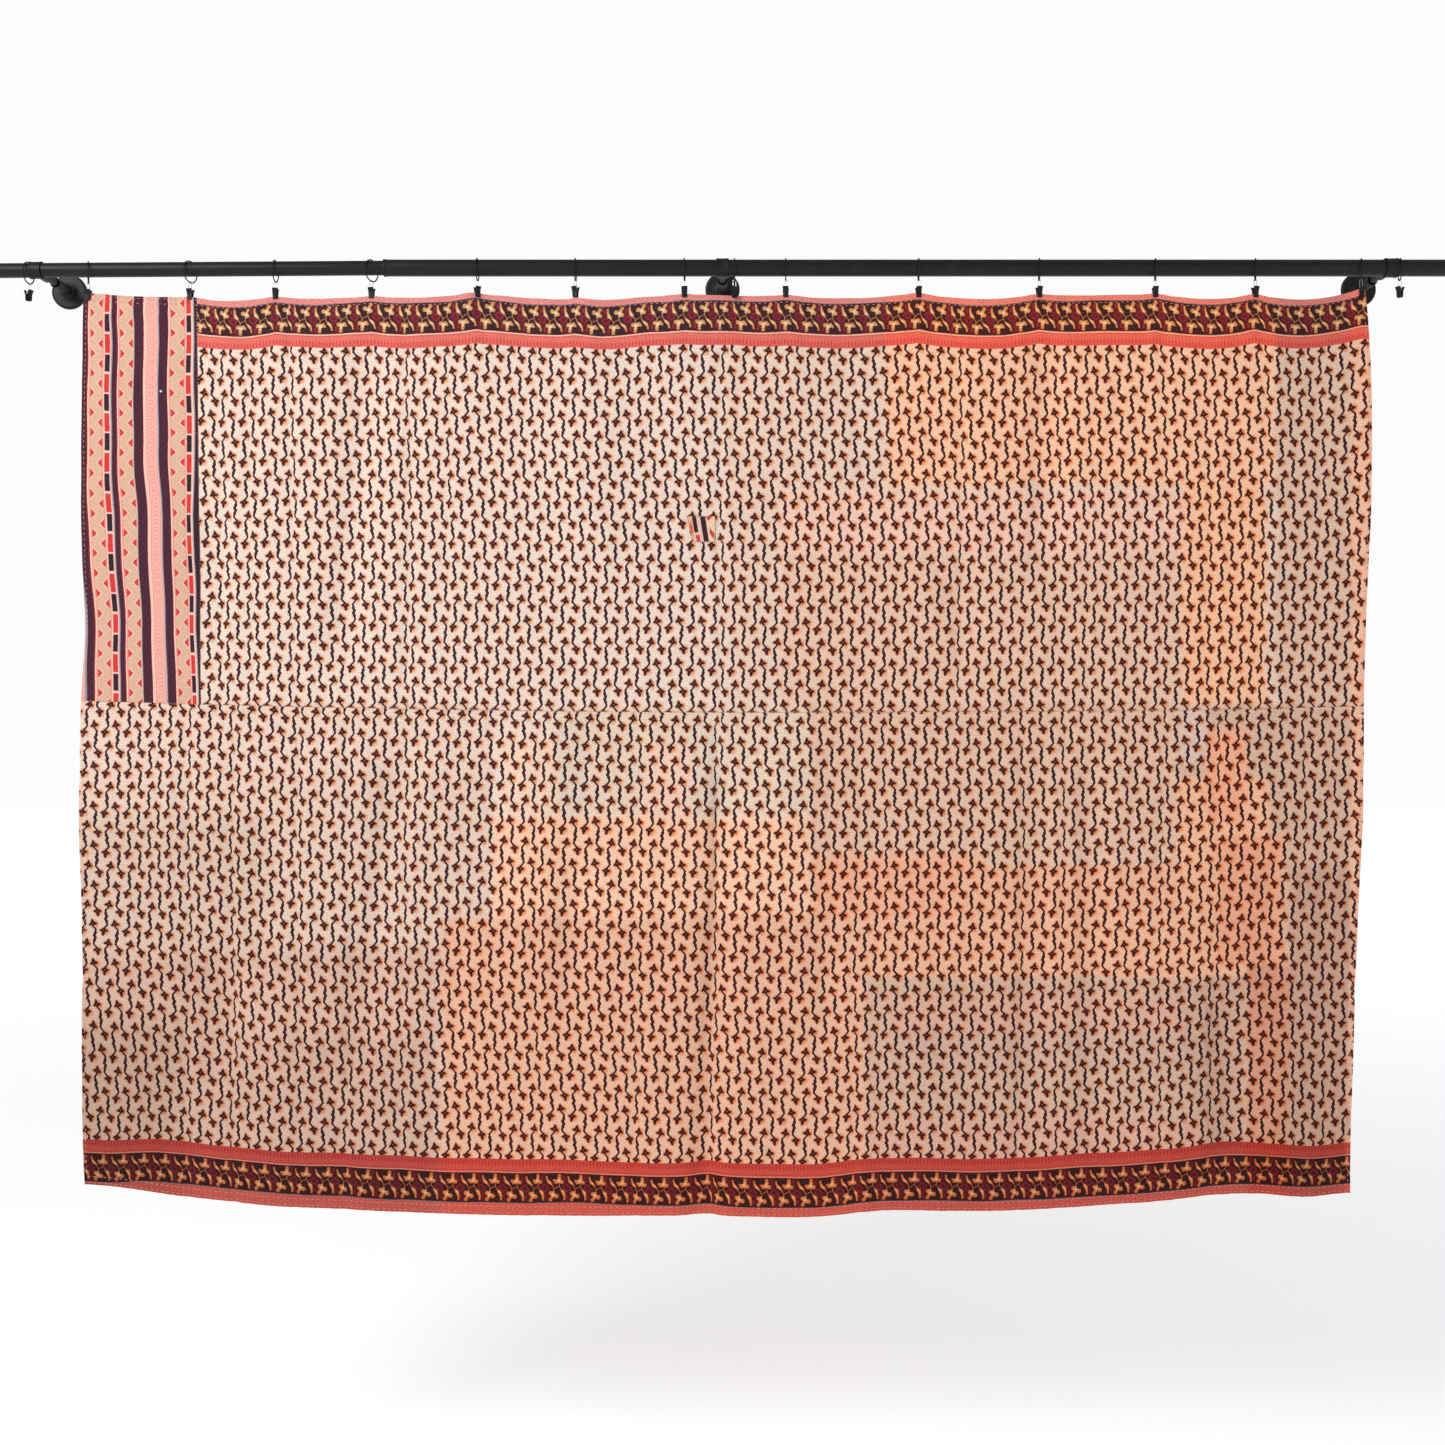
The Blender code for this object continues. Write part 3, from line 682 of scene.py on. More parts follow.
def model_loop():
    """A narrow arch of wire over the ring, its legs running down into the clip's notch."""
    arch_top = RING_WIRE * 2 + GAP + BAIL_WIRE
    foot = -BAIL_SHOWS - NOTCH_DEPTH + 2 * GAP
    arch = [math.radians(angle) for angle in range(0, 181, 15)]
    route = [(BAIL_HALF_WIDTH, foot)]
    route += [(BAIL_HALF_WIDTH * math.cos(a), arch_top - BAIL_HALF_WIDTH * (1 - math.sin(a)))
              for a in arch]
    route += [(-BAIL_HALF_WIDTH, foot)]
    wire = bpy.data.curves.new("loop", "CURVE")
    wire.dimensions = "3D"
    wire.bevel_depth = BAIL_WIRE
    wire.bevel_resolution = 2
    wire.use_fill_caps = True
    spline = wire.splines.new("POLY")
    spline.points.add(len(route) - 1)
    for point, (x, z) in zip(spline.points, route):
        point.co = (x, 0, z, 1)
    loop = bpy.data.objects.new("loop", wire)
    bpy.context.scene.collection.objects.link(loop)
    fresh()
    loop.select_set(True)
    bpy.context.view_layer.objects.active = loop
    bpy.ops.object.convert(target="MESH")
    close_up(loop)
    return settled(loop, "loop")


models = {"ring": model_ring(), "bail": model_loop()}
print("faces of the ring and the loop:", [len(model.data.polygons) for model in models.values()])

# %% [markdown]
# ## One clip
#
# The clip is two stamped strips, pressed together by a coil spring on a pin. One edge is drawn out
# step by step along a side view of the jaw, which keeps its bends in one short table, and Mirror and
# Solidify make the rest. The coil's turns lie side by side, so each is a small torus.

# %% Model one clip
JAW_BEND, JAW_SHEET, JAW_EDGE = 0.0003, 0.00088, 0.00018
PIN_RADIUS, PIN_HEIGHT, PIN_OUT, PIN_ROUND = 0.0007, -0.0076, 0.0002, 0.00015
HEAD_RADIUS, HEAD_LENGTH = 0.00119, 0.0006
SPRING_RADIUS, SPRING_WIRE, SPRING_TURNS, SPRING_PITCH = 0.0014, 0.00028, 7, 0.000588


def jaw_width(z):
    return CLIP_TOP_WIDTH + (CLIP_FOOT_WIDTH - CLIP_TOP_WIDTH) * -z / CLIP_HEIGHT


def jaw_route():
    """The middle of a jaw's sheet from the finger end to the foot, each point as (y, z)."""
    grip = QUILT_THICK / 2 + GAP * 1.5
    waist = grip + CLIP_WALL * 0.9
    middle, foot = grip + CLIP_WALL / 2, -CLIP_HEIGHT
    return (
        (CLIP_OPEN - CLIP_WALL * 0.3, -0.0004), (CLIP_OPEN - CLIP_WALL * 0.6, -0.0016),
        (waist + 0.0004, -NOTCH_DEPTH), (waist, -NOTCH_DEPTH - 0.0012),
        (waist, foot + SLOT_DEPTH - 0.001), (middle + JAW_BEND, foot + 0.004),
        (middle, foot + 0.0016), (middle + 0.0002, foot + 0.0006),
    )


def finger_end(place):
    """A plane cut down to one edge, which lies across the jaw at a place and is selected."""
    fresh()
    bpy.ops.mesh.primitive_plane_add(size=1)
    jaw = bpy.context.object
    edit(jaw)
    work = bmesh.from_edit_mesh(jaw.data)
    spare = [vertex for vertex in work.verts if vertex.co.y < 0]
    bmesh.ops.delete(work, geom=spare, context="VERTS")
    for vertex in work.verts:
        vertex.co = (math.copysign(CLIP_TOP_WIDTH / 2, vertex.co.x), *place)
        vertex.select = True
    work.select_flush(True)
    bmesh.update_edit_mesh(jaw.data)
    bpy.ops.mesh.select_mode(type="EDGE")
    return jaw


def model_jaws():
    route = jaw_route()
    jaw = finger_end(route[0])
    for (y, z), (next_y, next_z) in zip(route, route[1:]):
        step = (0, next_y - y, next_z - z)
        bpy.ops.mesh.extrude_region_move(TRANSFORM_OT_translate={"value": step})
        taper = jaw_width(next_z) / jaw_width(z)
        bpy.ops.transform.resize(value=(taper, 1, 1), center_override=(0, next_y, next_z))
    bpy.ops.object.mode_set(mode="OBJECT")
    close_up(jaw)
    mirror = jaw.modifiers.new("Mirror", "MIRROR")
    mirror.use_axis = (False, True, False)
    mirror.merge_threshold = SAME_POINT
    apply_all(jaw)
    return jaw


def thickened(jaw):
    wall = jaw.modifiers.new("Wall", "SOLIDIFY")
    wall.thickness = JAW_SHEET
    wall.offset = 0
    soft = jaw.modifiers.new("Edges", "BEVEL")
    soft.width = JAW_EDGE
    soft.segments = 2
    soft.limit_method = "ANGLE"
    apply_all(jaw)
    return jaw


def model_pin():
    half = CLIP_TOP_WIDTH / 2 + PIN_OUT
    neck = half - HEAD_LENGTH
    profile = rounded([
        (TINY / 2, -half), (HEAD_RADIUS, -half), (HEAD_RADIUS, -neck), (PIN_RADIUS, -neck),
        (PIN_RADIUS, neck), (HEAD_RADIUS, neck), (HEAD_RADIUS, half), (TINY / 2, half),
    ], PIN_ROUND, 2)
    return settled(turned(profile, 16), "pin", (0, math.radians(90), 0), (0, 0, PIN_HEIGHT))


def model_spring():
    turns = []
    for i in range(SPRING_TURNS):
        fresh()
        bpy.ops.mesh.primitive_torus_add(
            major_radius=SPRING_RADIUS, minor_radius=SPRING_WIRE,
            major_segments=20, minor_segments=6)
        x = (i - SPRING_TURNS // 2) * SPRING_PITCH
        turns.append(settled(bpy.context.object, "turn", (0, math.radians(90), 0), (x, 0, PIN_HEIGHT)))
    return joined(turns, "spring")


def model_clip():
    clip = joined([thickened(model_jaws()), model_pin(), model_spring()], "clip")
    return settled(clip, "clip")


models["clip"] = model_clip()
for kind, model in models.items():
    print(kind, len(model.data.polygons), "faces", [round(side, 4) for side in model.dimensions])

# %% [markdown]
# ## Sixteen of each
#
# The rings are all alike, so each model is copied. Each copy has a mesh of its own, because every
# finished piece keeps its object at the origin. A loop turns less than its clip, as a slack link does.

# %% Hang a copy of each from the rod


def hung(kind, name, turn, x, height):
    return settled(copied(models[kind]), name, (0, 0, math.radians(turn)), (x, ROD_Y, height))


def hang_ring(number, ring):
    centre = ring_height(ring)
    tag = f"{number:02d}"
    steel = hung("ring", "ring_steel_" + tag, -ring.ring_turn, ring.x, centre)
    dressed(steel, BLACK_STEEL, "ring_" + tag)
    low = centre - RING_RADIUS - RING_WIRE
    loop = hung("bail", "loop_wire_" + tag, ring.clip_turn * BAIL_FOLLOWS, ring.x, low)
    dressed(loop, BRIGHT_WIRE, "bail_" + tag)
    clip = hung("clip", "clip_steel_" + tag, ring.clip_turn, ring.x, clip_top(ring))
    dressed(clip, BLACK_STEEL, "clip_" + tag)


for number, ring in enumerate(RINGS, 1):
    hang_ring(number, ring)
for model in models.values():
    bpy.data.objects.remove(model)
print("hung", len(RINGS), "rings with their loops and clips")

# %% [markdown]
# ## How the cloth hangs
#
# The quilt is stiff with stitching, so it hangs almost flat: shallow scallops between the clips,
# a few long soft folds, creases from storage, and corners that curl. These tables are the ones that
# the solids were made with, so the fine sheets lie on the same edges and the same folds.

# %% Repeat the cloth's edges and folds
SEAM_DROP, QUILT_DROP = 0.63, 1.4
JOIN_TOP, JOIN_FOOT = -0.8142, -0.8083
Point = namedtuple("Point", "along at")
HEM = rows_of(
    Point, (-0.993, -1.425), (-0.945, -1.428), (-0.811, -1.442), (-0.632, -1.456), (-0.383, -1.467),
    (-0.096, -1.469), (-0.026, -1.469), (0.152, -1.47), (0.25, -1.46), (0.437, -1.461),
    (0.615, -1.45), (0.758, -1.436), (0.829, -1.435), (0.915, -1.443), (0.973, -1.439),
)
SEAM = rows_of(
    Point, (-0.995, -0.671), (-0.747, -0.678), (-0.002, -0.689), (0.36, -0.688), (0.803, -0.684),
    (0.995, -0.679),
)
LEFT_EDGE = rows_of(
    Point, (0.0, -0.99), (0.09, -0.992), (0.26, -0.994), (0.42, -0.992), (0.52, -0.988),
    (0.62, -0.9935), (0.835, -0.9975), (0.96, -0.9935), (1.15, -0.9945), (1.23, -0.996),
    (1.35, -0.997), (1.4, -0.995),
)
RIGHT_EDGE = rows_of(
    Point, (0.0, 0.9955), (0.04, 1.0), (0.11, 1.0044), (0.24, 1.0067), (0.375, 1.003),
    (0.5, 0.9975), (0.61, 0.9945), (0.8, 0.993), (0.905, 0.9875), (1.03, 0.983), (1.21, 0.98),
    (1.4, 0.98),
)
TOP_LIFT = rows_of(
    Point, (-0.99, 0.006), (-0.9, 0.004), (-0.83, 0.0), (-0.7, 0.0), (-0.6, 0.002),
    (-0.544, 0.0), (-0.29, 0.002), (-0.228, -0.004), (-0.12, 0.006), (-0.059, 0.001), (0.004, 0.005),
    (0.098, 0.0), (0.2, 0.003), (0.304, 0.001), (0.491, 0.0), (0.6, 0.004), (0.671, 0.0),
    (0.826, 0.0), (0.9, 0.005), (0.99, 0.007),
)
BAY_FADE = 0.16
TWIST_WIDTH, TWIST_FADE = 0.022, 0.05
CALM_TOP = 0.08
Fold = namedtuple("Fold", "x_top drop_top x_foot drop_foot half_width back")
FOLDS = rows_of(
    Fold,
    (-0.546, 0.08, -0.592, 0.56, 0.032, 0.01),
    (-0.499, 0.7, -0.569, 1.18, 0.032, 0.011),
    (-0.228, 0.85, -0.24, 1.12, 0.03, 0.007),
    (0.005, 0.74, -0.03, 1.4, 0.024, 0.011),
    (0.167, 0.93, 0.16, 1.12, 0.03, 0.006),
    (0.505, 0.07, 0.5, 0.42, 0.028, 0.008),
    (0.369, 0.4, 0.372, 0.56, 0.03, 0.006),
    (0.493, 0.7, 0.48, 1.31, 0.028, 0.008),
    (0.57, 0.7, 0.575, 1.31, 0.028, 0.008),
    (0.865, 0.86, 0.85, 1.04, 0.035, 0.008),
    (0.78, 1.1, 0.79, 1.32, 0.032, 0.014),
    (-0.786, 0.32, -0.79, 0.48, 0.032, 0.006),
    (-0.786, 1.0, -0.78, 1.22, 0.032, 0.008),
    (-0.282, 0.66, -0.29, 1.02, 0.055, -0.008),
    (0.105, 0.68, 0.1, 0.88, 0.045, -0.007),
    (-0.205, 0.15, -0.2, 0.42, 0.055, -0.006),
    (0.7, 0.9, 0.69, 1.4, 0.06, -0.009),
    (-0.68, 0.95, -0.69, 1.4, 0.06, -0.007),
    (0.3, 1.0, 0.31, 1.4, 0.07, -0.006),
)
FOLD_FADE = 0.1
Crease = namedtuple("Crease", "drop half_height back")
CREASES = (Crease(0.745, 0.03, 0.003), Crease(1.068, 0.03, 0.003), Crease(0.345, 0.04, -0.002))
Corner = namedtuple("Corner", "x reach_x reach_drop back")
CORNERS = (Corner(-0.995, 0.11, 0.2, 0.016), Corner(0.98, 0.1, 0.22, 0.018))
print("folds:", len(FOLDS), "creases:", len(CREASES))

# %% [markdown]
# ## Curves and hills
#
# A cloth simulation would find folds of its own, so the shape is worked out instead, from three
# kinds of curve: a smooth line through a table's points, a smooth step and a hill.

# %% Write the curves


def smooth_through(points, where):
    """The value at where on a smooth curve through the points."""
    along = np.array([point.along for point in points])
    at = np.array([point.at for point in points])
    slope = np.gradient(at, along)
    where = np.clip(where, along[0], along[-1])
    i = np.clip(np.searchsorted(along, where) - 1, 0, len(along) - 2)
    span = along[i + 1] - along[i]
    t = (where - along[i]) / span
    start = (1 + 2 * t) * (1 - t) ** 2 * at[i] + t * (1 - t) ** 2 * span * slope[i]
    end = t ** 2 * (3 - 2 * t) * at[i + 1] - t ** 2 * (1 - t) * span * slope[i + 1]
    return start + end


def smooth_step(value):
    value = np.clip(value, 0.0, 1.0)
    return value * value * (3 - 2 * value)


def rises(value, start, length):
    """0 before start, then a smooth rise that reaches 1 after the length."""
    return smooth_step((value - start) / length)


def falls(value, end, length):
    """A smooth fall that reaches 0 at end, and 1 more than the length before it."""
    return smooth_step((end - value) / length)


def hill(distance, width):
    return np.exp(-((distance / width) ** 2))


print("halfway up a step:", float(rises(0.5, 0, 1)))

# %% [markdown]
# ## Where the cloth hangs
#
# Depth is the sum of what each bay, fold, crease and corner adds at a place. The same sums serve the
# sheets, the patch and the stitches, so all of them lie on one surface.

# %% Write the shape in which the cloth hangs


def top_edge(x):
    """The top edge: a shallow scallop in each bay between two clips."""
    clips = np.array([ring.x for ring in HOLDERS])
    held = np.array([clip_top(ring) - CLIP_HEIGHT + ring.grip for ring in HOLDERS])
    low = np.array([ring.bay_low for ring in HOLDERS])
    bay = np.clip(np.searchsorted(clips, x) - 1, 0, len(clips) - 2)
    t = np.clip((x - clips[bay]) / (clips[bay + 1] - clips[bay]), 0, 1)
    start, end = held[bay], held[bay + 1]
    sag = (start + end) / 2 - low[bay]
    return start + (end - start) * t - sag * 4 * t * (1 - t) + smooth_through(TOP_LIFT, x)


def bay_depth(x, drop):
    """The bays stand a little before or behind the clips, and the clips twist the cloth."""
    depth = 0.0
    for low, following in zip(HOLDERS, HOLDERS[1:]):
        t = np.clip((x - low.x) / (following.x - low.x), 0, 1)
        depth = depth + low.bay_back * np.sin(math.pi * t) ** 2 * np.exp(-drop / BAY_FADE)
    for ring in HOLDERS:
        beside = x - ring.x
        twist = math.tan(math.radians(ring.clip_turn))
        depth = depth + twist * beside * hill(beside, TWIST_WIDTH) * np.exp(-drop / TWIST_FADE)
    return depth


def fold_depth(x, drop):
    """How far the cloth stands behind the line of the clips, from its folds and creases."""
    depth = 0.0
    for fold in FOLDS:
        t = (drop - fold.drop_top) / (fold.drop_foot - fold.drop_top)
        centre = fold.x_top + (fold.x_foot - fold.x_top) * t
        begins = smooth_step((drop - fold.drop_top) / FOLD_FADE + 0.5)
        ends = smooth_step((fold.drop_foot - drop) / FOLD_FADE + 0.5)
        ends = 1.0 if fold.drop_foot >= QUILT_DROP else ends
        depth = depth + fold.back * hill(x - centre, fold.half_width) * begins * ends
    for crease in CREASES:
        depth = depth + crease.back * hill(drop - crease.drop, crease.half_height)
    for corner in CORNERS:
        upward = hill(QUILT_DROP - drop, corner.reach_drop)
        depth = depth + corner.back * hill(x - corner.x, corner.reach_x) * upward
    return depth * smooth_step(drop / CALM_TOP)


def cloth_height(x, drop):
    seam, hem = smooth_through(SEAM, x), smooth_through(HEM, x)
    above = drop / SEAM_DROP
    below = (drop - SEAM_DROP) / (QUILT_DROP - SEAM_DROP)
    upper = top_edge(x) * (1 - above) + seam * above
    return np.where(drop <= SEAM_DROP, upper, seam * (1 - below) + hem * below)


def join_at(drop):
    """Where across the quilt the upper panel meets the striped one."""
    return JOIN_TOP + (JOIN_FOOT - JOIN_TOP) * drop / SEAM_DROP


def sides(drop):
    """Where across the wall the quilt's left and right edges hang."""
    return smooth_through(LEFT_EDGE, drop), smooth_through(RIGHT_EDGE, drop)


print("hem at the middle:", float(smooth_through(HEM, 0.0)))

# %% [markdown]
# ## Fine wrinkles
#
# Hand quilting draws the cloth up, so it is never smooth between its folds. These wrinkles are too
# small for the solids: drag lines that fan out below each clip, short creases where the quilt was
# folded away, a cockled surface, and the gathers along a hand-sewn seam. They fade out at the clips,
# where the jaws hold the cloth flat.

# %% Add the wrinkles
Wrinkle = namedtuple("Wrinkle", "x drop angle half_length half_width back")
WRINKLES = rows_of(
    Wrinkle, (-0.9, 0.16, 78, 0.06, 0.007, 0.0016), (-0.73, 0.24, 96, 0.08, 0.008, 0.0018),
    (-0.64, 0.12, 70, 0.05, 0.007, -0.0015), (-0.47, 0.2, 102, 0.09, 0.009, 0.0018),
    (-0.33, 0.1, 82, 0.06, 0.007, 0.0016), (-0.13, 0.26, 88, 0.12, 0.009, -0.0016),
    (0.03, 0.14, 96, 0.08, 0.008, 0.0018), (0.21, 0.22, 84, 0.1, 0.009, 0.0016),
    (0.4, 0.12, 74, 0.06, 0.008, -0.0014), (0.61, 0.18, 98, 0.08, 0.008, 0.0018),
    (0.77, 0.28, 90, 0.11, 0.01, -0.0018), (0.92, 0.16, 80, 0.07, 0.008, 0.0017),
    (-0.86, 0.8, 92, 0.12, 0.01, -0.0018), (-0.72, 0.9, 100, 0.09, 0.008, 0.0016),
    (-0.61, 1.2, 84, 0.1, 0.009, 0.0018), (-0.41, 1.06, 94, 0.11, 0.009, 0.0016),
    (-0.33, 1.26, 80, 0.08, 0.008, -0.0015), (-0.12, 0.95, 90, 0.13, 0.01, -0.0018),
    (-0.02, 1.02, 93, 0.26, 0.006, 0.003), (0.055, 1.18, 86, 0.11, 0.009, -0.0016),
    (0.23, 0.84, 95, 0.08, 0.008, 0.0017), (0.35, 1.22, 82, 0.09, 0.009, 0.0016),
    (0.44, 1.1, 92, 0.1, 0.008, -0.0015), (0.64, 0.78, 97, 0.09, 0.008, 0.0018),
    (0.73, 1.16, 78, 0.07, 0.008, 0.0018), (0.86, 1.24, 96, 0.08, 0.008, -0.0016),
    (0.93, 0.92, 88, 0.12, 0.009, 0.0016), (-0.5, 0.48, 4, 0.11, 0.01, 0.0012),
    (0.28, 0.47, -3, 0.14, 0.01, 0.0012), (-0.15, 1.09, 3, 0.16, 0.01, 0.0014),
    (0.62, 1.07, -2, 0.15, 0.01, 0.0014), (-0.7, 0.74, 2, 0.15, 0.01, 0.0013),
)
DRAG_DEPTH, DRAG_FADE, DRAG_LINES = 0.0011, 0.11, 14
DRAG_ABOVE, DRAG_CLEAR = 0.012, 0.03
COCKLE_DEPTH = 0.0006
GATHER_DEPTH, GATHER_PITCH, GATHER_FADE, HEM_GATHERS = 0.0006, 0.019, 0.012, 0.8
CLIP_CALM_WIDTH, CLIP_CALM_DROP = 0.014, 0.018


def wrinkle_depth(x, drop):
    depth = 0.0
    for wrinkle in WRINKLES:
        angle = math.radians(wrinkle.angle)
        dx, dy = x - wrinkle.x, drop - wrinkle.drop
        along = dx * math.cos(angle) + dy * math.sin(angle)
        across = dy * math.cos(angle) - dx * math.sin(angle)
        shape = hill(along, wrinkle.half_length) * hill(across, wrinkle.half_width)
        depth = depth + wrinkle.back * shape
    return depth


def drag_depth(x, drop):
    depth = 0.0
    for i, ring in enumerate(HOLDERS):
        dx, dy = x - ring.x, drop + DRAG_ABOVE
        away = np.hypot(dx, dy)
        fan = np.cos(np.arctan2(dx, dy) * DRAG_LINES + i)
        depth = depth + DRAG_DEPTH * fan * hill(away, DRAG_FADE) * rises(away, 0, DRAG_CLEAR)
    return depth


def cockle_depth(x, drop):
    """The quilting's uneven pull, from waves that cross at odd lengths."""
    bend = 0.5 * np.sin(x * 23 + 1.3) + 0.6 * np.sin(drop * 31 + x * 9)
    rows = np.sin(drop * 210 + 2.2 * bend + 1.5 * np.sin(x * 41))
    cells = np.sin(x * 118 + 1.7 * np.sin(drop * 37) + bend)
    broad = np.sin(x * 47 + drop * 19) * np.sin(drop * 53 - x * 11)
    return COCKLE_DEPTH * (0.45 * rows * cells + 0.35 * cells + 0.8 * broad)


def gather_depth(x, drop, seam_distance):
    wave = np.sin(x * 2 * math.pi / GATHER_PITCH + 2 * np.sin(x * 29))
    return GATHER_DEPTH * wave * hill(seam_distance, GATHER_FADE)


def fine_depth(x, drop):
    calm = 1.0
    for ring in HOLDERS:
        calm = calm * (1 - hill(x - ring.x, CLIP_CALM_WIDTH) * np.exp(-drop / CLIP_CALM_DROP))
    depth = wrinkle_depth(x, drop) + drag_depth(x, drop) + cockle_depth(x, drop)
    depth = depth + gather_depth(x, drop, drop - SEAM_DROP)
    depth = depth + gather_depth(x, drop, QUILT_DROP - drop) * HEM_GATHERS
    return depth * calm


def cloth_depth(x, drop):
    """All that moves the cloth back from the line of the clips."""
    return bay_depth(x, drop) + fold_depth(x, drop) + fine_depth(x, drop)


def hang(share, left, right, drop, behind=0.0):
    """Points of the cloth's front: a share of the way across, at a drop down the cloth."""
    x = left + (right - left) * share
    y = ROD_Y + cloth_depth(x, drop) - QUILT_THICK / 2 + behind
    return np.stack([x, y, cloth_height(x, drop)], axis=-1)


print("wrinkles:", len(WRINKLES))

# %% [markdown]
# ## Flat cloth and hung cloth
#
# The prints were made on flat cloth, so every point of a sheet also has a place on the flat cloth.
# Between the two lie the length that the folds take up, the slow pull of hanging, and small tucks,
# which each lose a few millimetres of the print's repeat of 33.5 mm in a shallow valley.

# %% Work out the place on the flat cloth
MILLIMETRES = 1000.0
UPPER_STRETCH, LOWER_STRETCH = 1.0175, 1.0104     # flat length of each metre of drop
Tuck = namedtuple("Tuck", "at takes")
UPPER_TUCKS = rows_of(
    Tuck, (-0.778, 0.0035), (-0.735, 0.003), (-0.67, 0.005), (-0.491, 0.0065), (-0.429, 0.003),
    (-0.006, 0.004), (0.364, 0.004), (0.516, 0.0025), (0.563, 0.0015), (0.679, 0.002),
    (0.749, 0.0025), (0.834, 0.0025), (0.919, 0.0015),
)
LOWER_TUCKS = rows_of(
    Tuck, (-0.825, 0.0045), (-0.755, 0.0055), (-0.654, 0.004), (-0.577, 0.004), (-0.491, 0.003),
    (-0.282, 0.003), (-0.127, 0.003), (-0.006, 0.007), (0.214, 0.003), (0.253, 0.003),
    (0.47, 0.004), (0.532, 0.004), (0.632, 0.002), (0.687, 0.004), (0.772, 0.004),
    (0.904, 0.003), (0.95, 0.002),
)
TUCK_WIDTH, TUCK_HALF, TUCK_RISE = 0.012, 0.0075, 0.42
TUCK_TOP, TUCK_FADE = 0.035, 0.05
TUCK_SWAY, SWAY_TURNS, SWAY_APART = 0.004, 9.0, 1.7
PULL, PULL_HALF, FAR_PULL = 0.016, 0.95, 0.004
LEAN, FOOT_LEAN, MIDDLE_LEAN = 0.002, 0.0205, 0.012
LOWERED, HELD_RIGHT, HELD_LEFT = 0.0088, 0.004, 0.006
FOOT_RAISED, FOOT_SUNK, CORNER_PULL, CORNER_SUNK = 0.0046, 0.013, 0.0055, 0.005
SWING, SWING_SPREAD = 0.006, 1.8
SWING_MIDDLE, SWING_LEFT, SWING_RIGHT = -0.902, 0.11, 0.075


def flat_length(drop):
    """How far down the flat cloth a drop lies."""
    upper = np.minimum(drop, SEAM_DROP) * UPPER_STRETCH
    return upper + np.maximum(drop - SEAM_DROP, 0) * LOWER_STRETCH


def flat_width(across, tucks):
    """How far along the flat cloth a place lies, with the cloth that each tuck takes up."""
    flat = across
    for tuck in tucks:
        flat = flat + tuck.takes * rises(across, tuck.at - TUCK_WIDTH / 2, TUCK_WIDTH)
    return flat


def tuck_depth(across, drop, tucks):
    """The shallow valleys of the tucks, which wander and fade out at the top and at the seam."""
    depth = 0.0
    for i, tuck in enumerate(tucks):
        middle = tuck.at + TUCK_SWAY * np.sin(drop * SWAY_TURNS + i * SWAY_APART)
        depth = depth + tuck.takes * TUCK_RISE * hill(across - middle, TUCK_HALF)
    below_top = rises(drop, TUCK_TOP, TUCK_FADE)
    beside_seam = smooth_step(abs(drop - SEAM_DROP) / TUCK_FADE)
    return depth * below_top * beside_seam


def upper_slide(across, drop):
    """How far the print of the upper panel was pulled aside: to the left, more towards the top."""
    reach = 1 - (np.minimum(across, 0) / PULL_HALF) ** 2
    rise = 1.1 * falls(drop, 0.46, 0.32) - 0.1
    far_right = rises(across, 0.53, 0.06) * rises(drop, 0.2, 0.15)
    return -PULL * reach * rise - FAR_PULL * far_right


def lower_slide(across, drop):
    """How far the lower panel's print leans to the right, and how far it hangs down.

    It leans more towards the foot, and the right half hangs lower, except along the foot itself.
    """
    middle = rises(drop, 0.6, 0.3) * falls(drop, 1.3, 0.27) * rises(across, -0.336, 0.58)
    aside = LEAN + FOOT_LEAN * rises(drop, 1.0, 0.3) + MIDDLE_LEAN * middle
    held = HELD_RIGHT * rises(across, 0.75, 0.2) + HELD_LEFT * falls(across, -0.62, 0.26)
    lowered = (LOWERED * rises(across, -0.45, 0.75) - held) * falls(drop, 1.25, 0.22)
    raised = FOOT_RAISED * falls(across, -0.1, 0.12) - FOOT_SUNK * falls(across, -0.86, 0.1)
    lowered = lowered - raised * rises(drop, 1.12, 0.12)
    far_left = falls(across, -0.83, 0.1) * falls(drop, 1.02, 0.15)
    return aside + CORNER_PULL * far_left, lowered + CORNER_SUNK * far_left


def striped_slide(across, drop):
    """Low down, the middle stripes hang further to the right and the last ones further to the left."""
    beside = across - SWING_MIDDLE
    reach = np.where(beside < 0, SWING_LEFT, SWING_RIGHT)
    return SWING * (1 - SWING_SPREAD * (beside / reach) ** 2) * rises(drop, 0.24, 0.11)


def print_drift(flat):
    """The print was never quite straight, so it drifts about a millimetre this way and that."""
    x, y = flat[:, 0], flat[:, 1]
    aside = 0.0009 * np.sin(x * 31 + 2.0 * np.sin(y * 9)) + 0.0006 * np.sin(y * 47 + x * 13)
    down = 0.0007 * np.sin(y * 29 + 1.7 * np.sin(x * 11)) + 0.0005 * np.sin(x * 53 - y * 17)
    return flat + np.stack([aside, down], axis=-1)


print("tucks:", len(UPPER_TUCKS), "above the seam and", len(LOWER_TUCKS), "below it")

# %% [markdown]
# ## The sheets
#
# Each panel is one thin sheet: a grid with a square every 6 mm, laid on the hanging shape, which
# Solidify makes as thick as the stitched layers. The place on the flat cloth is kept as a map named
# "cloth". The prints are drawn on that map, so they bend with the folds as real prints do.

# %% Write the sheet helpers
SQUARE = 0.006
EDGE_ROUND, ROUND_SHARE, EDGE_ANGLE = 0.0005, 0.3, math.radians(70)


def steps_between(low, high, size):
    return np.linspace(low, high, round((high - low) / size) + 1)


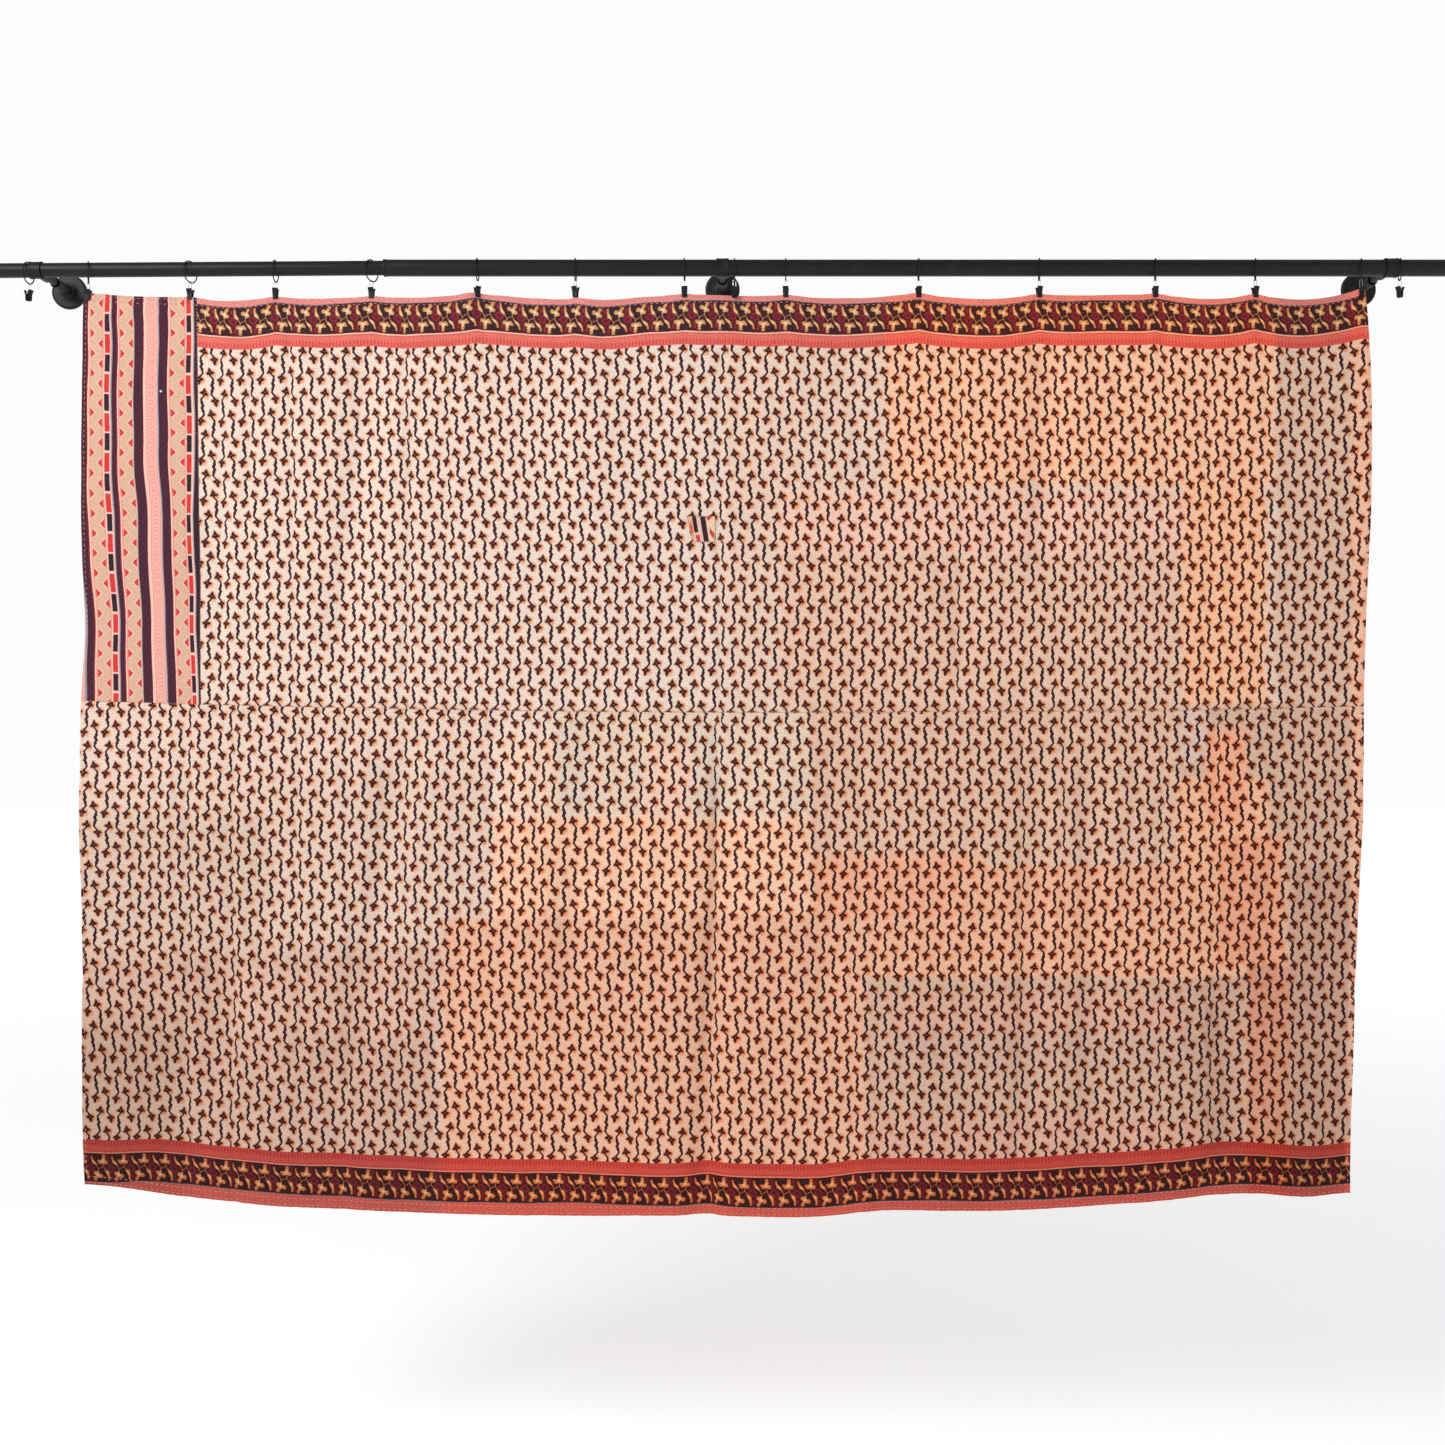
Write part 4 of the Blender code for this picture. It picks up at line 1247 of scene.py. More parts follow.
def lay_sheet(name, shares, drops, place):
    """A grid of the given columns and rows, each point put where place says it hangs."""
    fresh()
    columns, rows = len(shares) - 1, len(drops) - 1
    bpy.ops.mesh.primitive_grid_add(x_subdivisions=columns, y_subdivisions=rows, size=1)
    sheet = bpy.context.object
    sheet.name = name
    mesh = sheet.data
    corners = np.empty(len(mesh.vertices) * 3)
    mesh.vertices.foreach_get("co", corners)
    corners = corners.reshape(-1, 3)
    column = np.rint((corners[:, 0] + 0.5) * columns).astype(int)
    row = np.rint((0.5 - corners[:, 1]) * rows).astype(int)
    points, flat = place(shares[column], drops[row])
    mesh.vertices.foreach_set("co", points.ravel())
    for layer in list(mesh.uv_layers):
        mesh.uv_layers.remove(layer)
    loops = np.empty(len(mesh.loops), int)
    mesh.loops.foreach_get("vertex_index", loops)
    mesh.uv_layers.new(name="cloth").data.foreach_set("uv", print_drift(flat)[loops].ravel())
    mesh.update()
    return sheet


def mark_border(sheet, low, high):
    """The squares that reach into the border, which is low to high mm down, take the second finish."""
    mesh = sheet.data
    flat = np.empty(len(mesh.loops) * 2)
    mesh.uv_layers["cloth"].data.foreach_get("uv", flat)
    downs = flat.reshape(-1, 4, 2)[:, :, 1] * MILLIMETRES
    touches = (downs.max(axis=1) > low) & (downs.min(axis=1) < high)
    mesh.polygons.foreach_set("material_index", touches.astype(int))


def thick_sheet(sheet, thick, fronts, back, border=None):
    """Thickens a sheet backwards, gives the back its own finish and rounds the cut edge."""
    sheet.data.materials.clear()
    for finish in (*fronts, *[back] * len(fronts)):
        sheet.data.materials.append(finish)
    if border:
        mark_border(sheet, *border)
    wall = sheet.modifiers.new("Layers", "SOLIDIFY")
    wall.thickness = thick
    wall.offset = -1
    wall.material_offset = len(fronts)
    wall.material_offset_rim = 0
    edge = sheet.modifiers.new("Edge", "BEVEL")
    edge.width = min(EDGE_ROUND, thick * ROUND_SHARE)
    edge.segments = 2
    edge.limit_method = "ANGLE"
    edge.angle_limit = EDGE_ANGLE
    apply_all(sheet)
    return settled(sheet, sheet.name)


print("squares in a metre:", round(1 / SQUARE))

# %% [markdown]
# ## Three panels
#
# The quilt is pieced from three cloths. One function for each takes a share of the way across and a
# drop down, and gives its place in the room and on the flat cloth. Where two panels meet, the seam's
# spare cloth is tucked behind, as a seamstress leaves it.

# %% Lay the three panels
TUCK_IN, TUCK_BEHIND, SIDE_TUCK = 0.008, 0.0027, 0.005
SEAM_TURN = 0.0006
UPPER_LEFT, UPPER_RIGHT = LEFT_EDGE[0].at, RIGHT_EDGE[0].at
SEAM_LEFT, SEAM_RIGHT = LEFT_EDGE[5].at, RIGHT_EDGE[6].at    # the quilt's sides at the long seam
LOWER_WIDTH = RIGHT_EDGE[5].at - SEAM_LEFT


def upper_place(share, drop):
    left, right = join_at(drop) + GAP / 2, sides(drop)[1]
    across = JOIN_TOP + (UPPER_RIGHT - JOIN_TOP) * share
    behind = np.where(share < 0, TUCK_BEHIND, 0.0) + tuck_depth(across, drop, UPPER_TUCKS)
    printed = flat_width(across, UPPER_TUCKS) - upper_slide(across, drop)
    flat = np.stack([printed, flat_length(drop)], axis=-1)
    return hang(share, left, right, drop, behind), flat


def striped_place(share, drop):
    left, right = sides(drop)[0], join_at(drop) - GAP / 2
    across = UPPER_LEFT + (JOIN_TOP - UPPER_LEFT) * share
    flat = np.stack([across - striped_slide(across, drop), flat_length(drop)], axis=-1)
    return hang(share, left, right, drop), flat


def lower_place(share, drop):
    across = SEAM_LEFT + (SEAM_RIGHT - SEAM_LEFT) * share
    behind = np.where(drop < SEAM_DROP, TUCK_BEHIND, 0.0) + tuck_depth(across, drop, LOWER_TUCKS)
    aside, lowered = lower_slide(across, drop)
    flat = np.stack([flat_width(across, LOWER_TUCKS) - aside, flat_length(drop) - lowered], axis=-1)
    return hang(share, *sides(drop), drop, behind), flat


def lay_panels():
    upper_width = UPPER_RIGHT - JOIN_TOP
    spare = -SIDE_TUCK / upper_width
    turn = SEAM_TURN / upper_width
    even = steps_between(0, 1, SQUARE / upper_width)
    upper_shares = np.concatenate([[spare, -turn], even])
    upper_drops = steps_between(0, SEAM_DROP - GAP / 2, SQUARE)
    upper = lay_sheet("upper_panel", upper_shares, upper_drops, upper_place)
    striped_shares = steps_between(0, 1, SQUARE / (JOIN_TOP - UPPER_LEFT))
    striped = lay_sheet("striped_panel", striped_shares, upper_drops, striped_place)
    lower_shares = steps_between(0, 1, SQUARE / LOWER_WIDTH)
    even = steps_between(SEAM_DROP + GAP / 2, QUILT_DROP, SQUARE)
    lower_drops = np.concatenate([[SEAM_DROP - TUCK_IN, SEAM_DROP - SEAM_TURN], even])
    lower = lay_sheet("lower_panel", lower_shares, lower_drops, lower_place)
    return upper, striped, lower


upper_panel, striped_panel, lower_panel = lay_panels()
for panel in (upper_panel, striped_panel, lower_panel):
    print(panel.name, len(panel.data.polygons), "squares")

# %% [markdown]
# ## Stains, ageing and painted shade
#
# Old dye bled through the quilt where it lay folded, so the stains are patches with nearly straight
# edges. The patches also hold painted shade: they darken towards the foot and the right, where the
# light falls off. Each is a rectangle in a table, in metres on the wall, and is laid over the ones
# before it. Its colour multiplies the print's. The last one is the orange right edge. The colour is
# kept on each point of the sheet.

# %% Colour the stains and the painted shade
STAINS_AND_SHADE = "stains"
# Each patch's colour, of stain and of painted shade alike, is kept at this share of its strength.
STORED = 0.5                  # the share of its strength at which a stain is kept
WANDER = 0.0015
StainAndShade = namedtuple("StainAndShade", "left right top foot soft red green blue")
FAR = 9.0
CLEAN = (0.95, 0.93, 0.965)
# Besides real stains, these rows paint shade: the ones low down and at the right are darker where the light
# falls off.
STAIN_AND_SHADE_TABLE = rows_of(
    StainAndShade,
    (-FAR, -0.812, FAR, -0.68, 0.004, 0.95, 0.84, 0.88),
    (0.006, 0.859, FAR, -0.68, 0.02, 0.92, 0.85, 0.85),
    (0.091, 0.711, -0.362, -0.68, 0.01, 0.93, 0.775, 0.73),
    (0.091, 0.719, -0.346, -0.439, 0.01, 1.01, 0.81, 0.79),
    (0.254, 0.859, FAR, -0.338, 0.012, 1.08, 0.79, 0.64),
    (0.711, 0.843, -0.33, -0.678, 0.01, 1.08, 0.76, 0.59),
    (0.859, FAR, FAR, -0.68, 0.012, 0.85, 0.72, 0.68),
    (-FAR, -0.358, -0.68, -1.09, 0.012, 0.88, 0.82, 0.83),
    (-FAR, -0.358, -0.68, -0.787, 0.05, 0.92, 0.87, 0.89),
    (-FAR, -0.7, -0.85, -1.06, 0.05, 0.8, 0.73, 0.725),
    (-FAR, -0.436, -1.06, -FAR, 0.05, 0.755, 0.62, 0.6),
    (-0.76, -0.436, -1.08, -1.19, 0.04, 0.82, 0.68, 0.665),
    (-FAR, -0.84, -1.17, -FAR, 0.08, 0.61, 0.5, 0.465),
    (-0.257, 0.138, -0.68, -0.85, 0.01, 0.91, 0.87, 0.85),
    (-0.257, -0.211, -0.7, -0.85, 0.008, 0.86, 0.87, 0.87),
    (-0.335, -0.257, -0.735, -0.85, 0.008, 0.98, 0.89, 0.85),
    (-0.118, -0.048, -0.742, -0.85, 0.008, 1.0, 0.84, 0.82),
    (-0.048, 0.006, -0.7, -0.85, 0.008, 0.86, 0.87, 0.87),
    (0.138, FAR, -0.68, -FAR, 0.01, 0.8, 0.66, 0.61),
    (0.138, 0.704, -0.68, -0.93, 0.01, 0.89, 0.735, 0.68),
    (-0.358, 0.138, -0.85, -1.01, 0.012, 1.05, 0.81, 0.7),
    (-0.436, 0.223, -1.005, -FAR, 0.012, 0.95, 0.68, 0.58),
    (0.138, 0.4, -0.912, -1.01, 0.01, 0.99, 0.64, 0.52),
    (0.363, 0.704, -0.928, -1.1, 0.01, 0.98, 0.67, 0.55),
    (0.223, 0.812, -1.005, -1.1, 0.012, 0.99, 0.69, 0.56),
    (0.843, FAR, -0.68, -1.0, 0.012, 0.79, 0.645, 0.6),
    (0.882, FAR, -0.93, -FAR, 0.02, 0.68, 0.515, 0.48),
    (0.704, 0.75, -0.68, -0.77, 0.01, 0.86, 0.77, 0.78),
    (0.704, 0.85, -0.79, -1.1, 0.01, 1.03, 0.72, 0.565),
    (0.75, 0.812, -0.715, -0.86, 0.012, 1.03, 0.61, 0.47),
    (0.766, 0.87, -0.88, -1.08, 0.012, 0.98, 0.58, 0.45),
    (0.812, 0.882, -1.08, -FAR, 0.01, 0.79, 0.47, 0.385),
    (0.223, 0.804, -1.1, -1.37, 0.01, 0.785, 0.645, 0.595),
    (0.262, 0.72, -1.126, -1.183, 0.01, 0.84, 0.62, 0.58),
    (0.262, 0.804, -1.183, -1.238, 0.01, 0.76, 0.62, 0.6),
    (0.223, 0.804, -1.315, -FAR, 0.01, 0.84, 0.61, 0.57),
    (0.75, 0.81, -1.1, -1.37, 0.01, 0.74, 0.58, 0.54),
    (0.974, FAR, FAR, -FAR, 0.012, 1.05, 0.75, 0.65),
)


def wander(x, z, seed):
    """A slow uneven shift, so that no patch of stain and painted shade has a ruled edge."""
    wave = np.sin(x * 17 + seed * 2.1) + np.sin(z * 23 + seed * 1.3)
    return WANDER * (wave + np.sin(x * 83 - z * 71 + seed))


def stain_and_shade_share(stain_and_shade, x, z, seed):
    shift = wander(x, z, seed)
    across = np.minimum(x + shift - stain_and_shade.left, stain_and_shade.right - x + shift)
    down = np.minimum(stain_and_shade.top - z + shift, z + shift - stain_and_shade.foot)
    return smooth_step(across / stain_and_shade.soft + 0.5) * smooth_step(down / stain_and_shade.soft + 0.5)


def stain_and_shade_colours(x, z):
    tint = np.ones((len(x), 3)) * CLEAN
    for seed, stain_and_shade in enumerate(STAIN_AND_SHADE_TABLE):
        share = stain_and_shade_share(stain_and_shade, x, z, seed)[:, None]
        tint += share * (np.array([stain_and_shade.red, stain_and_shade.green, stain_and_shade.blue]) - tint)
    return tint


def stain_and_shade(sheet):
    """Writes each point's colour of stain and painted shade at half its strength, so that a patch may also
    lighten.
    """
    mesh = sheet.data
    places = np.empty(len(mesh.vertices) * 3)
    mesh.vertices.foreach_get("co", places)
    places = places.reshape(-1, 3)
    colours = stain_and_shade_colours(places[:, 0], places[:, 2]) * STORED
    layer = mesh.color_attributes.new(STAINS_AND_SHADE, "FLOAT_COLOR", "POINT")
    solid = np.concatenate([colours, np.ones((len(colours), 1))], axis=1)
    layer.data.foreach_set("color", solid.ravel())


for panel in (upper_panel, striped_panel, lower_panel):
    stain_and_shade(panel)
print("stains:", len(STAIN_AND_SHADE_TABLE))

# %% [markdown]
# ## Drawing a print with distances
#
# A printed shape is a distance: below zero inside it, above zero outside. Three helpers draw the
# shapes that sums alone can't. `petals` is a flower, whose reach in each direction is a ramp over the
# angle. `meander` is a stem, whose middle and width are a ramp over the height. `line` is one straight
# stroke. All prints are worked out in millimetres on the flat cloth, with y running down it.

# %% Write the drawing helpers
BLUNT = ((0.0, 1.0), (0.2, 0.84), (0.6, 0.3), (1.0, 0.0))
WIDEST = 4.0                  # a stem's half width fits in a ramp up to this
Tip = namedtuple("Tip", "x y")
Stroke = namedtuple("Stroke", "y x half")


def petal_reach(angle, tips, waist, spread, outline):
    """How far a flower reaches at an angle: its waist, or more near a petal's tip."""
    reach = waist
    for tip in tips:
        apart = abs((angle - math.atan2(tip.y, tip.x) + math.pi) % (2 * math.pi) - math.pi) / spread
        share = np.interp(apart, [place for place, _ in outline], [rise for _, rise in outline])
        reach = max(reach, waist + (math.hypot(tip.x, tip.y) - waist) * share)
    return reach


def petals(finish, x, y, centre, tips, waist, spread, outline):
    """The distance outside a flower, and the distance from its centre."""
    x, y = x - centre[0], y - centre[1]
    longest = max(math.hypot(tip.x, tip.y) for tip in tips)
    angles = {-math.pi, math.pi}
    for tip in tips:
        for place, _ in outline:
            for side in (-1, 1):
                angle = math.atan2(tip.y, tip.x) + side * place * spread
                angles.add(round((angle + math.pi) % (2 * math.pi) - math.pi, 6))
    stops = []
    for angle in sorted(angles):
        reach = petal_reach(angle, tips, waist, spread, outline) / longest
        stops.append((angle / (2 * math.pi) + 0.5, (reach, reach, reach, 1)))
    angle = y.math("ARCTAN2", y, x)
    turn = angle.math("MULTIPLY_ADD", angle, 1 / (2 * math.pi), 0.5)
    reach = finish.node("ShaderNodeValToRGB", {"stops": stops}, {0: turn})
    away = x.math("SQRT", x * x + y * y)
    return away - reach * longest, away


def meander(finish, x, y, strokes, low, high, reach):
    """The distance outside a stem that runs down through the strokes. A width below zero is a gap."""
    stops = []
    for stroke in strokes:
        middle = stroke.x / (2 * reach) + 0.5
        stops.append(((stroke.y - low) / (high - low), (middle, stroke.half / (2 * WIDEST) + 0.5, 0, 1)))
    place = y.math("MULTIPLY_ADD", y, 1 / (high - low), -low / (high - low))
    ramp = finish.node("ShaderNodeValToRGB", {"stops": stops}, {0: place})
    parts = finish.node("ShaderNodeSeparateColor", {}, {0: ramp})
    red, green = [Value(finish, socket) for socket in parts.socket.node.outputs[:2]]
    middle = red.math("MULTIPLY_ADD", red, 2 * reach, -reach)
    half = green.math("MULTIPLY_ADD", green, 2 * WIDEST, -WIDEST)
    return abs(x - middle) - half


def line(finish, point, start, end, half):
    """The distance outside a straight stroke from start to end."""
    run = Vector((*end, 0)) - Vector((*start, 0))
    beside = finish.vector("SUBTRACT", point, (*start, 0))
    share = finish.vector("DOT_PRODUCT", beside, tuple(run / run.length_squared))
    share = share.math("ADD", share, 0.0, clamp=True)
    nearest = finish.scaled(finish.vector("ADD", tuple(run), (0, 0, 0)), share)
    return finish.vector("LENGTH", finish.vector("SUBTRACT", beside, nearest)) - half


print("a petal's reach straight up:", round(petal_reach(-1.57, [Tip(1.5, -7.1)], 1.5, 0.6, BLUNT), 2))

# %% [markdown]
# ## What every panel shares
#
# All the cloth is old soft cotton with rows of running stitch. The rows pull small dimples, the cloth
# puffs up between them, and pale thread shows in short dashes. Painted shade darkens the hollow along
# each row. A fine noise lays painted shade where the weave's hollows lie and pales the ink where they
# don't. Print edges are a little ragged, because the cloth is shifted by another noise before a pattern
# is drawn.

# %% Write the ground of the cloth
ROW_PITCH, ROW_SHIFT, ROW_SHADE = 4.6, 3.1, 0.12
STITCH_PITCH, STITCH_HALF, THREAD_HALF = 8.4, 2.1, 0.32
PUFF_HEIGHT, DIMPLE = 0.16, 0.08
GRAIN_SCALE, GRAIN_SHADE, GRAIN_LIGHT = 0.9, 0.85, 0.05
# The first colour is the tint of the painted shade in hollows, the second the pale of wear.
HOLLOW_SHADE, WORN = ink(206, 192, 188), ink(245, 232, 220)
CRINKLE_SCALE, CRINKLE_HEIGHT = 0.16, 0.35
RAGGED_SCALE, RAGGED = 0.35, 0.7


class Cloth(Finish):
    """A finish that is drawn on the flat cloth in millimetres, where two dimensions are enough."""

    dimensions = "2D"

    def __init__(self, name):
        super().__init__(name, Roughness=0.9, Specular_IOR_Level=0.08)
        map_node = self.node("ShaderNodeUVMap", {"uv_map": "cloth"}, {})
        self.flat = self.scaled(map_node, MILLIMETRES)
        self.across, self.down = self.split(self.flat)
        shake = self.noise(self.flat, RAGGED_SCALE, 1.0, "Color")
        shift = self.scaled(self.vector("SUBTRACT", shake, (0.5, 0.5, 0.5)), RAGGED)
        self.drawn = self.vector("ADD", self.flat, shift)
        self.x, self.y = self.split(self.drawn)

    # The stain colours multiply in here, and with them the painted shade that they carry.
    def stained_and_shaded(self, colour, share):
        seen = self.node("ShaderNodeAttribute", {"attribute_name": STAINS_AND_SHADE}, {}, "Color")
        return self.mix(share, colour, self.scaled(seen, 1 / STORED), "MULTIPLY")

    def finish_cloth(self, colour, thread=(226, 206, 190), showing=0.05, stains=1.0):
        """Adds the stitch rows, the wear, the painted shade in hollows, the stains with their painted shade
        and the crinkle to a printed colour.
        """
        row = self.down / ROW_PITCH
        beside = abs(wrapped(row, -0.5, 0.5))
        number = row.math("FLOOR", row + 0.5)
        place = wrapped(self.across + number * ROW_SHIFT, -STITCH_PITCH / 2, STITCH_PITCH / 2)
        dash = inside(abs(place) - STITCH_HALF)
        thread_seen = inside(beside * ROW_PITCH - THREAD_HALF, 0.4) * dash
        grain = self.noise(self.flat, GRAIN_SCALE, 1.0)
        # Painted shade: the ink is darkened where the weave's hollows lie.
        hollow_shaded = self.mix(inside(grain - 0.46, 0.14) * GRAIN_SHADE, colour, HOLLOW_SHADE, "MULTIPLY")
        worn = self.mix(inside(0.56 - grain, 0.14) * GRAIN_LIGHT, hollow_shaded, WORN, "SCREEN")
        # Painted shade along the hollow of each stitch row.
        shaded = self.mix(inside(beside * ROW_PITCH - 0.9, 1.0) * ROW_SHADE, worn, HOLLOW_SHADE, "MULTIPLY")
        sewn = self.mix(thread_seen * showing, shaded, ink(*thread))
        self.feed("Base Color", self.stained_and_shaded(sewn, stains))
        puff = beside.math("SQRT", beside * 2) * PUFF_HEIGHT
        height = puff - dash * inside(beside * ROW_PITCH - 1.2, 1.2) * DIMPLE
        height = height + self.noise(self.flat, CRINKLE_SCALE, 1.0) * CRINKLE_HEIGHT
        self.bump(height * (1 / MILLIMETRES))
        self.feed("Roughness", 0.8 + grain * 0.16)
        return self.material


print("stitch rows on the whole quilt: about", round(QUILT_DROP * MILLIMETRES / ROW_PITCH))

# %% [markdown]
# ## The field print
#
# The main print is a small climbing vine: a flower that points up, a thin kinked stem, a thick
# stepped stem, a kinked stem again and a flower that points down. The next vine is the same one
# turned over and slid half a repeat down. So only one vine is drawn: the other half of each repeat
# is folded onto it, along a line that bends around the flowers. Each flower has an orange glow to its
# lower right, the same way on both.

# %% Draw the field print
VINE_PITCH, VINE_REPEAT = 33.54, 64.2
VINE_LEFT, VINE_TOP = -12.02, -10.9
MIRROR_SUM = 9.5
PARTING = 3.0                 # how far the line between two vines bends around their flowers
FLOWER_UP, FLOWER_DOWN = (0.0, 0.0), (-6.9, 43.6)
TIPS_UP = (Tip(0.9, -6.9), Tip(-6.8, 0.4), Tip(5.4, 3.2), Tip(-0.6, 4.6))
TIPS_DOWN = (Tip(-6.0, -0.2), Tip(6.3, 0.5), Tip(-1.4, 8.8), Tip(0.6, -4.6))
PETAL_WAIST, PETAL_SPREAD = 3.2, math.radians(44)
GONE = -3.0
STEM = rows_of(
    Stroke, (2.8, 0.0, GONE), (3.0, 0.0, 1.2), (4.6, -0.4, 1.4), (9.8, -5.0, 1.6), (11.0, -4.9, 1.4),
    (13.4, -4.6, 1.5), (13.8, -4.3, 2.2), (17.6, -4.3, 2.2), (17.9, -2.9, 2.3), (21.8, -2.9, 2.3),
    (22.1, -4.2, 2.3), (26.0, -4.3, 2.2), (26.3, -2.9, 2.2), (30.2, -2.8, 2.1), (30.5, -2.2, 1.5),
    (34.2, -1.6, 1.5), (35.4, -2.4, 1.6), (40.4, -6.6, 1.6), (42.0, -7.0, 1.2), (42.4, -7.0, GONE),
)
GLOW_UP, GLOW_DOWN = (2.8, 2.0), (2.4, 1.5)         # from each flower's middle
GLOW_RADIUS, GLOW_SOFT, GLOW_SHARE = 6.2, 6.5, 0.92
EYE_RADIUS, BROWN_RADIUS = 0.75, 3.6
STEM_REACH = 8.0              # the stem's middle keeps within this of the vine's own middle
BOLDER = 0.27                 # the print has spread this far into the cloth
PALE_LINE = ink(238, 220, 202)
CREAM, PINK_CREAM, GREY_CREAM = ink(255, 240, 213), ink(244, 210, 188), ink(228, 226, 214)
FLOWER_BROWN, FLOWER_EDGE = ink(38, 0, 6), ink(72, 12, 6)
STEM_DARK, STEM_HEART = ink(40, 0, 16), ink(88, 14, 42)
FLOWER_EYE, GLOW, RIM = ink(190, 124, 112), ink(238, 148, 74), ink(192, 92, 36)


def glow_share(x, y, lean):
    """How strongly the orange glow shows. It lies to the right of each flower, folded or not."""
    up = (x - lean * GLOW_UP[0], y - GLOW_UP[1])
    down = (x - FLOWER_DOWN[0] - lean * GLOW_DOWN[0], y - FLOWER_DOWN[1] - GLOW_DOWN[1])
    up_away, down_away = [dx.math("SQRT", dx * dx + dy * dy) for dx, dy in (up, down)]
    return inside(lesser(up_away, down_away) - GLOW_RADIUS, GLOW_SOFT)


def field_print(cloth, start):
    """The colour of the vines and their ground, with one upward flower at start."""
    along = (cloth.y - start[1]) * (2 * math.pi / VINE_REPEAT)
    left_bend = along.math("COSINE", along - FLOWER_DOWN[1] * 2 * math.pi / VINE_REPEAT) * -PARTING
    middle_bend = along.math("COSINE", along) * PARTING
    x = wrapped(cloth.x - start[0] - left_bend, VINE_LEFT, VINE_LEFT + VINE_PITCH) + left_bend
    other = x.math("GREATER_THAN", x - middle_bend, VINE_LEFT + VINE_PITCH / 2)
    x = x + other * (MIRROR_SUM - x * 2)
    y = wrapped(cloth.y - start[1] + other * (VINE_REPEAT / 2), VINE_TOP, VINE_TOP + VINE_REPEAT)
    up, up_away = petals(cloth, x, y, FLOWER_UP, TIPS_UP, PETAL_WAIST, PETAL_SPREAD, BLUNT)
    down, down_away = petals(cloth, x, y, FLOWER_DOWN, TIPS_DOWN, PETAL_WAIST, PETAL_SPREAD, BLUNT)
    stem = meander(cloth, x, y, STEM, VINE_TOP, VINE_TOP + VINE_REPEAT, STEM_REACH)
    flower, away = lesser(up, down), lesser(up_away, down_away)
    speck = cloth.noise(cloth.flat, 0.55, 1.0)
    dust = cloth.noise(cloth.drawn, 0.42, 1.0)
    patchy = cloth.noise(cloth.flat, 0.05, 1.0)
    ground = cloth.mix(inside(0.5 - speck, 0.22), CREAM, PINK_CREAM)
    ground = cloth.mix(inside(0.54 - dust, 0.16) * 0.7, ground, GREY_CREAM)
    ground = cloth.mix(inside(0.5 - patchy, 0.3) * 0.35, ground, GREY_CREAM)
    ground = cloth.mix(glow_share(x, y, 1 - other * 2) * GLOW_SHARE, ground, GLOW)
    ground = cloth.mix(inside(flower - 1.3, 3.0) * 0.8, ground, RIM)
    ground = cloth.mix(inside(stem - 1.4, 1.2) * inside(0.5 - speck, 0.1) * 0.7, ground, PALE_LINE)
    flower, stem = flower - BOLDER, stem - BOLDER
    brown = cloth.mix(inside(away - BROWN_RADIUS, 3.0), FLOWER_EDGE, FLOWER_BROWN)
    bark = cloth.mix(inside(stem + 1.5) * 0.5, STEM_DARK, STEM_HEART)
    drawn = cloth.mix(inside(stem), ground, bark)
    drawn = cloth.mix(inside(flower), drawn, brown)
    return cloth.mix(inside(away - EYE_RADIUS), drawn, FLOWER_EYE)


print("vines across the lower panel:", round(2 * LOWER_WIDTH * MILLIMETRES / VINE_PITCH))

# %% [markdown]
# ## The border print
#
# Along the top and the foot runs a border: a dark band with gold trefoils, buds and crimson diamonds,
# edged by a thin pale line, a speckled coral stripe with red commas, and a coral hem. The trefoils are
# clusters of discs, each bud is a meander that swells, and a short line links the trefoil to the bud.
# The crimson parts reach across the repeat's edge, so they are wrapped about their own middle.

# %% Draw the border print
BAND_PITCH, BAND_LEFT = 33.54, -21.5
BAND_DEPTH, HEART_DROP = 47.0, 11.8
PETAL_TONE, PETAL_RIM, BUD_RIM, BUD_HEART = 3.6, 0.4, 0.3, 2.0
Disc = namedtuple("Disc", "x y radius")
HIGH_TREFOIL = rows_of(
    Disc, (0.0, 0.0, 3.5), (-5.3, -1.9, 3.8), (1.9, -4.1, 2.8), (3.9, -7.2, 3.1), (3.4, 2.8, 3.5),
    (-0.8, 4.6, 2.0),
)
LOW_TREFOIL = rows_of(
    Disc, (-9.2, 22.0, 3.6), (-13.9, 20.6, 3.5), (-5.2, 20.8, 3.7), (-2.4, 22.8, 2.4),
    (-10.4, 27.0, 3.1), (-10.6, 30.6, 3.0),
)
HEARTS = (Disc(-0.4, 0.6, 0), Disc(-9.4, 23.2, 0))
STROKES_LOW, STROKES_HIGH, BUD_REACH, CRIMSON_REACH = -11.0, 35.0, 20.0, 8.0
LEFT_BUD = rows_of(
    Stroke, (-8.8, -17.9, GONE), (-8.4, -17.9, 1.6), (-2.5, -18.1, 1.9), (1.8, -17.0, 2.8),
    (5.0, -15.8, 3.6), (7.6, -14.2, 2.0), (9.1, -12.6, 0.8), (12.3, -10.7, 0.7), (14.1, -9.7, 0.8),
    (18.2, -10.7, 0.8), (19.0, -10.7, GONE),
)
RIGHT_BUD = rows_of(
    Stroke, (4.0, -0.5, GONE), (4.6, -0.5, 0.8), (9.6, -1.6, 0.7), (13.6, 0.0, 0.7), (15.8, 1.5, 1.4),
    (18.0, 3.7, 3.0), (20.4, 5.6, 3.4), (23.0, 7.3, 2.3), (25.7, 8.5, 1.6), (29.8, 9.2, 1.5),
    (30.6, 9.2, GONE),
)
LINK, LINK_HALF = ((-1.9, 9.6), (-9.3, 13.4)), 0.6
CRIMSON = rows_of(
    Stroke, (-7.4, -1.1, GONE), (-7.0, -1.1, 1.2), (0.0, -1.1, 1.4), (0.4, -1.1, GONE),
    (22.9, 3.6, GONE), (23.3, 3.6, 1.3), (30.4, 4.2, 1.3), (30.8, 4.2, GONE),
)
CRIMSON_MIDDLE, CRIMSON_LEAN, CRIMSON_HALF = 11.9, 0.16, 5.6
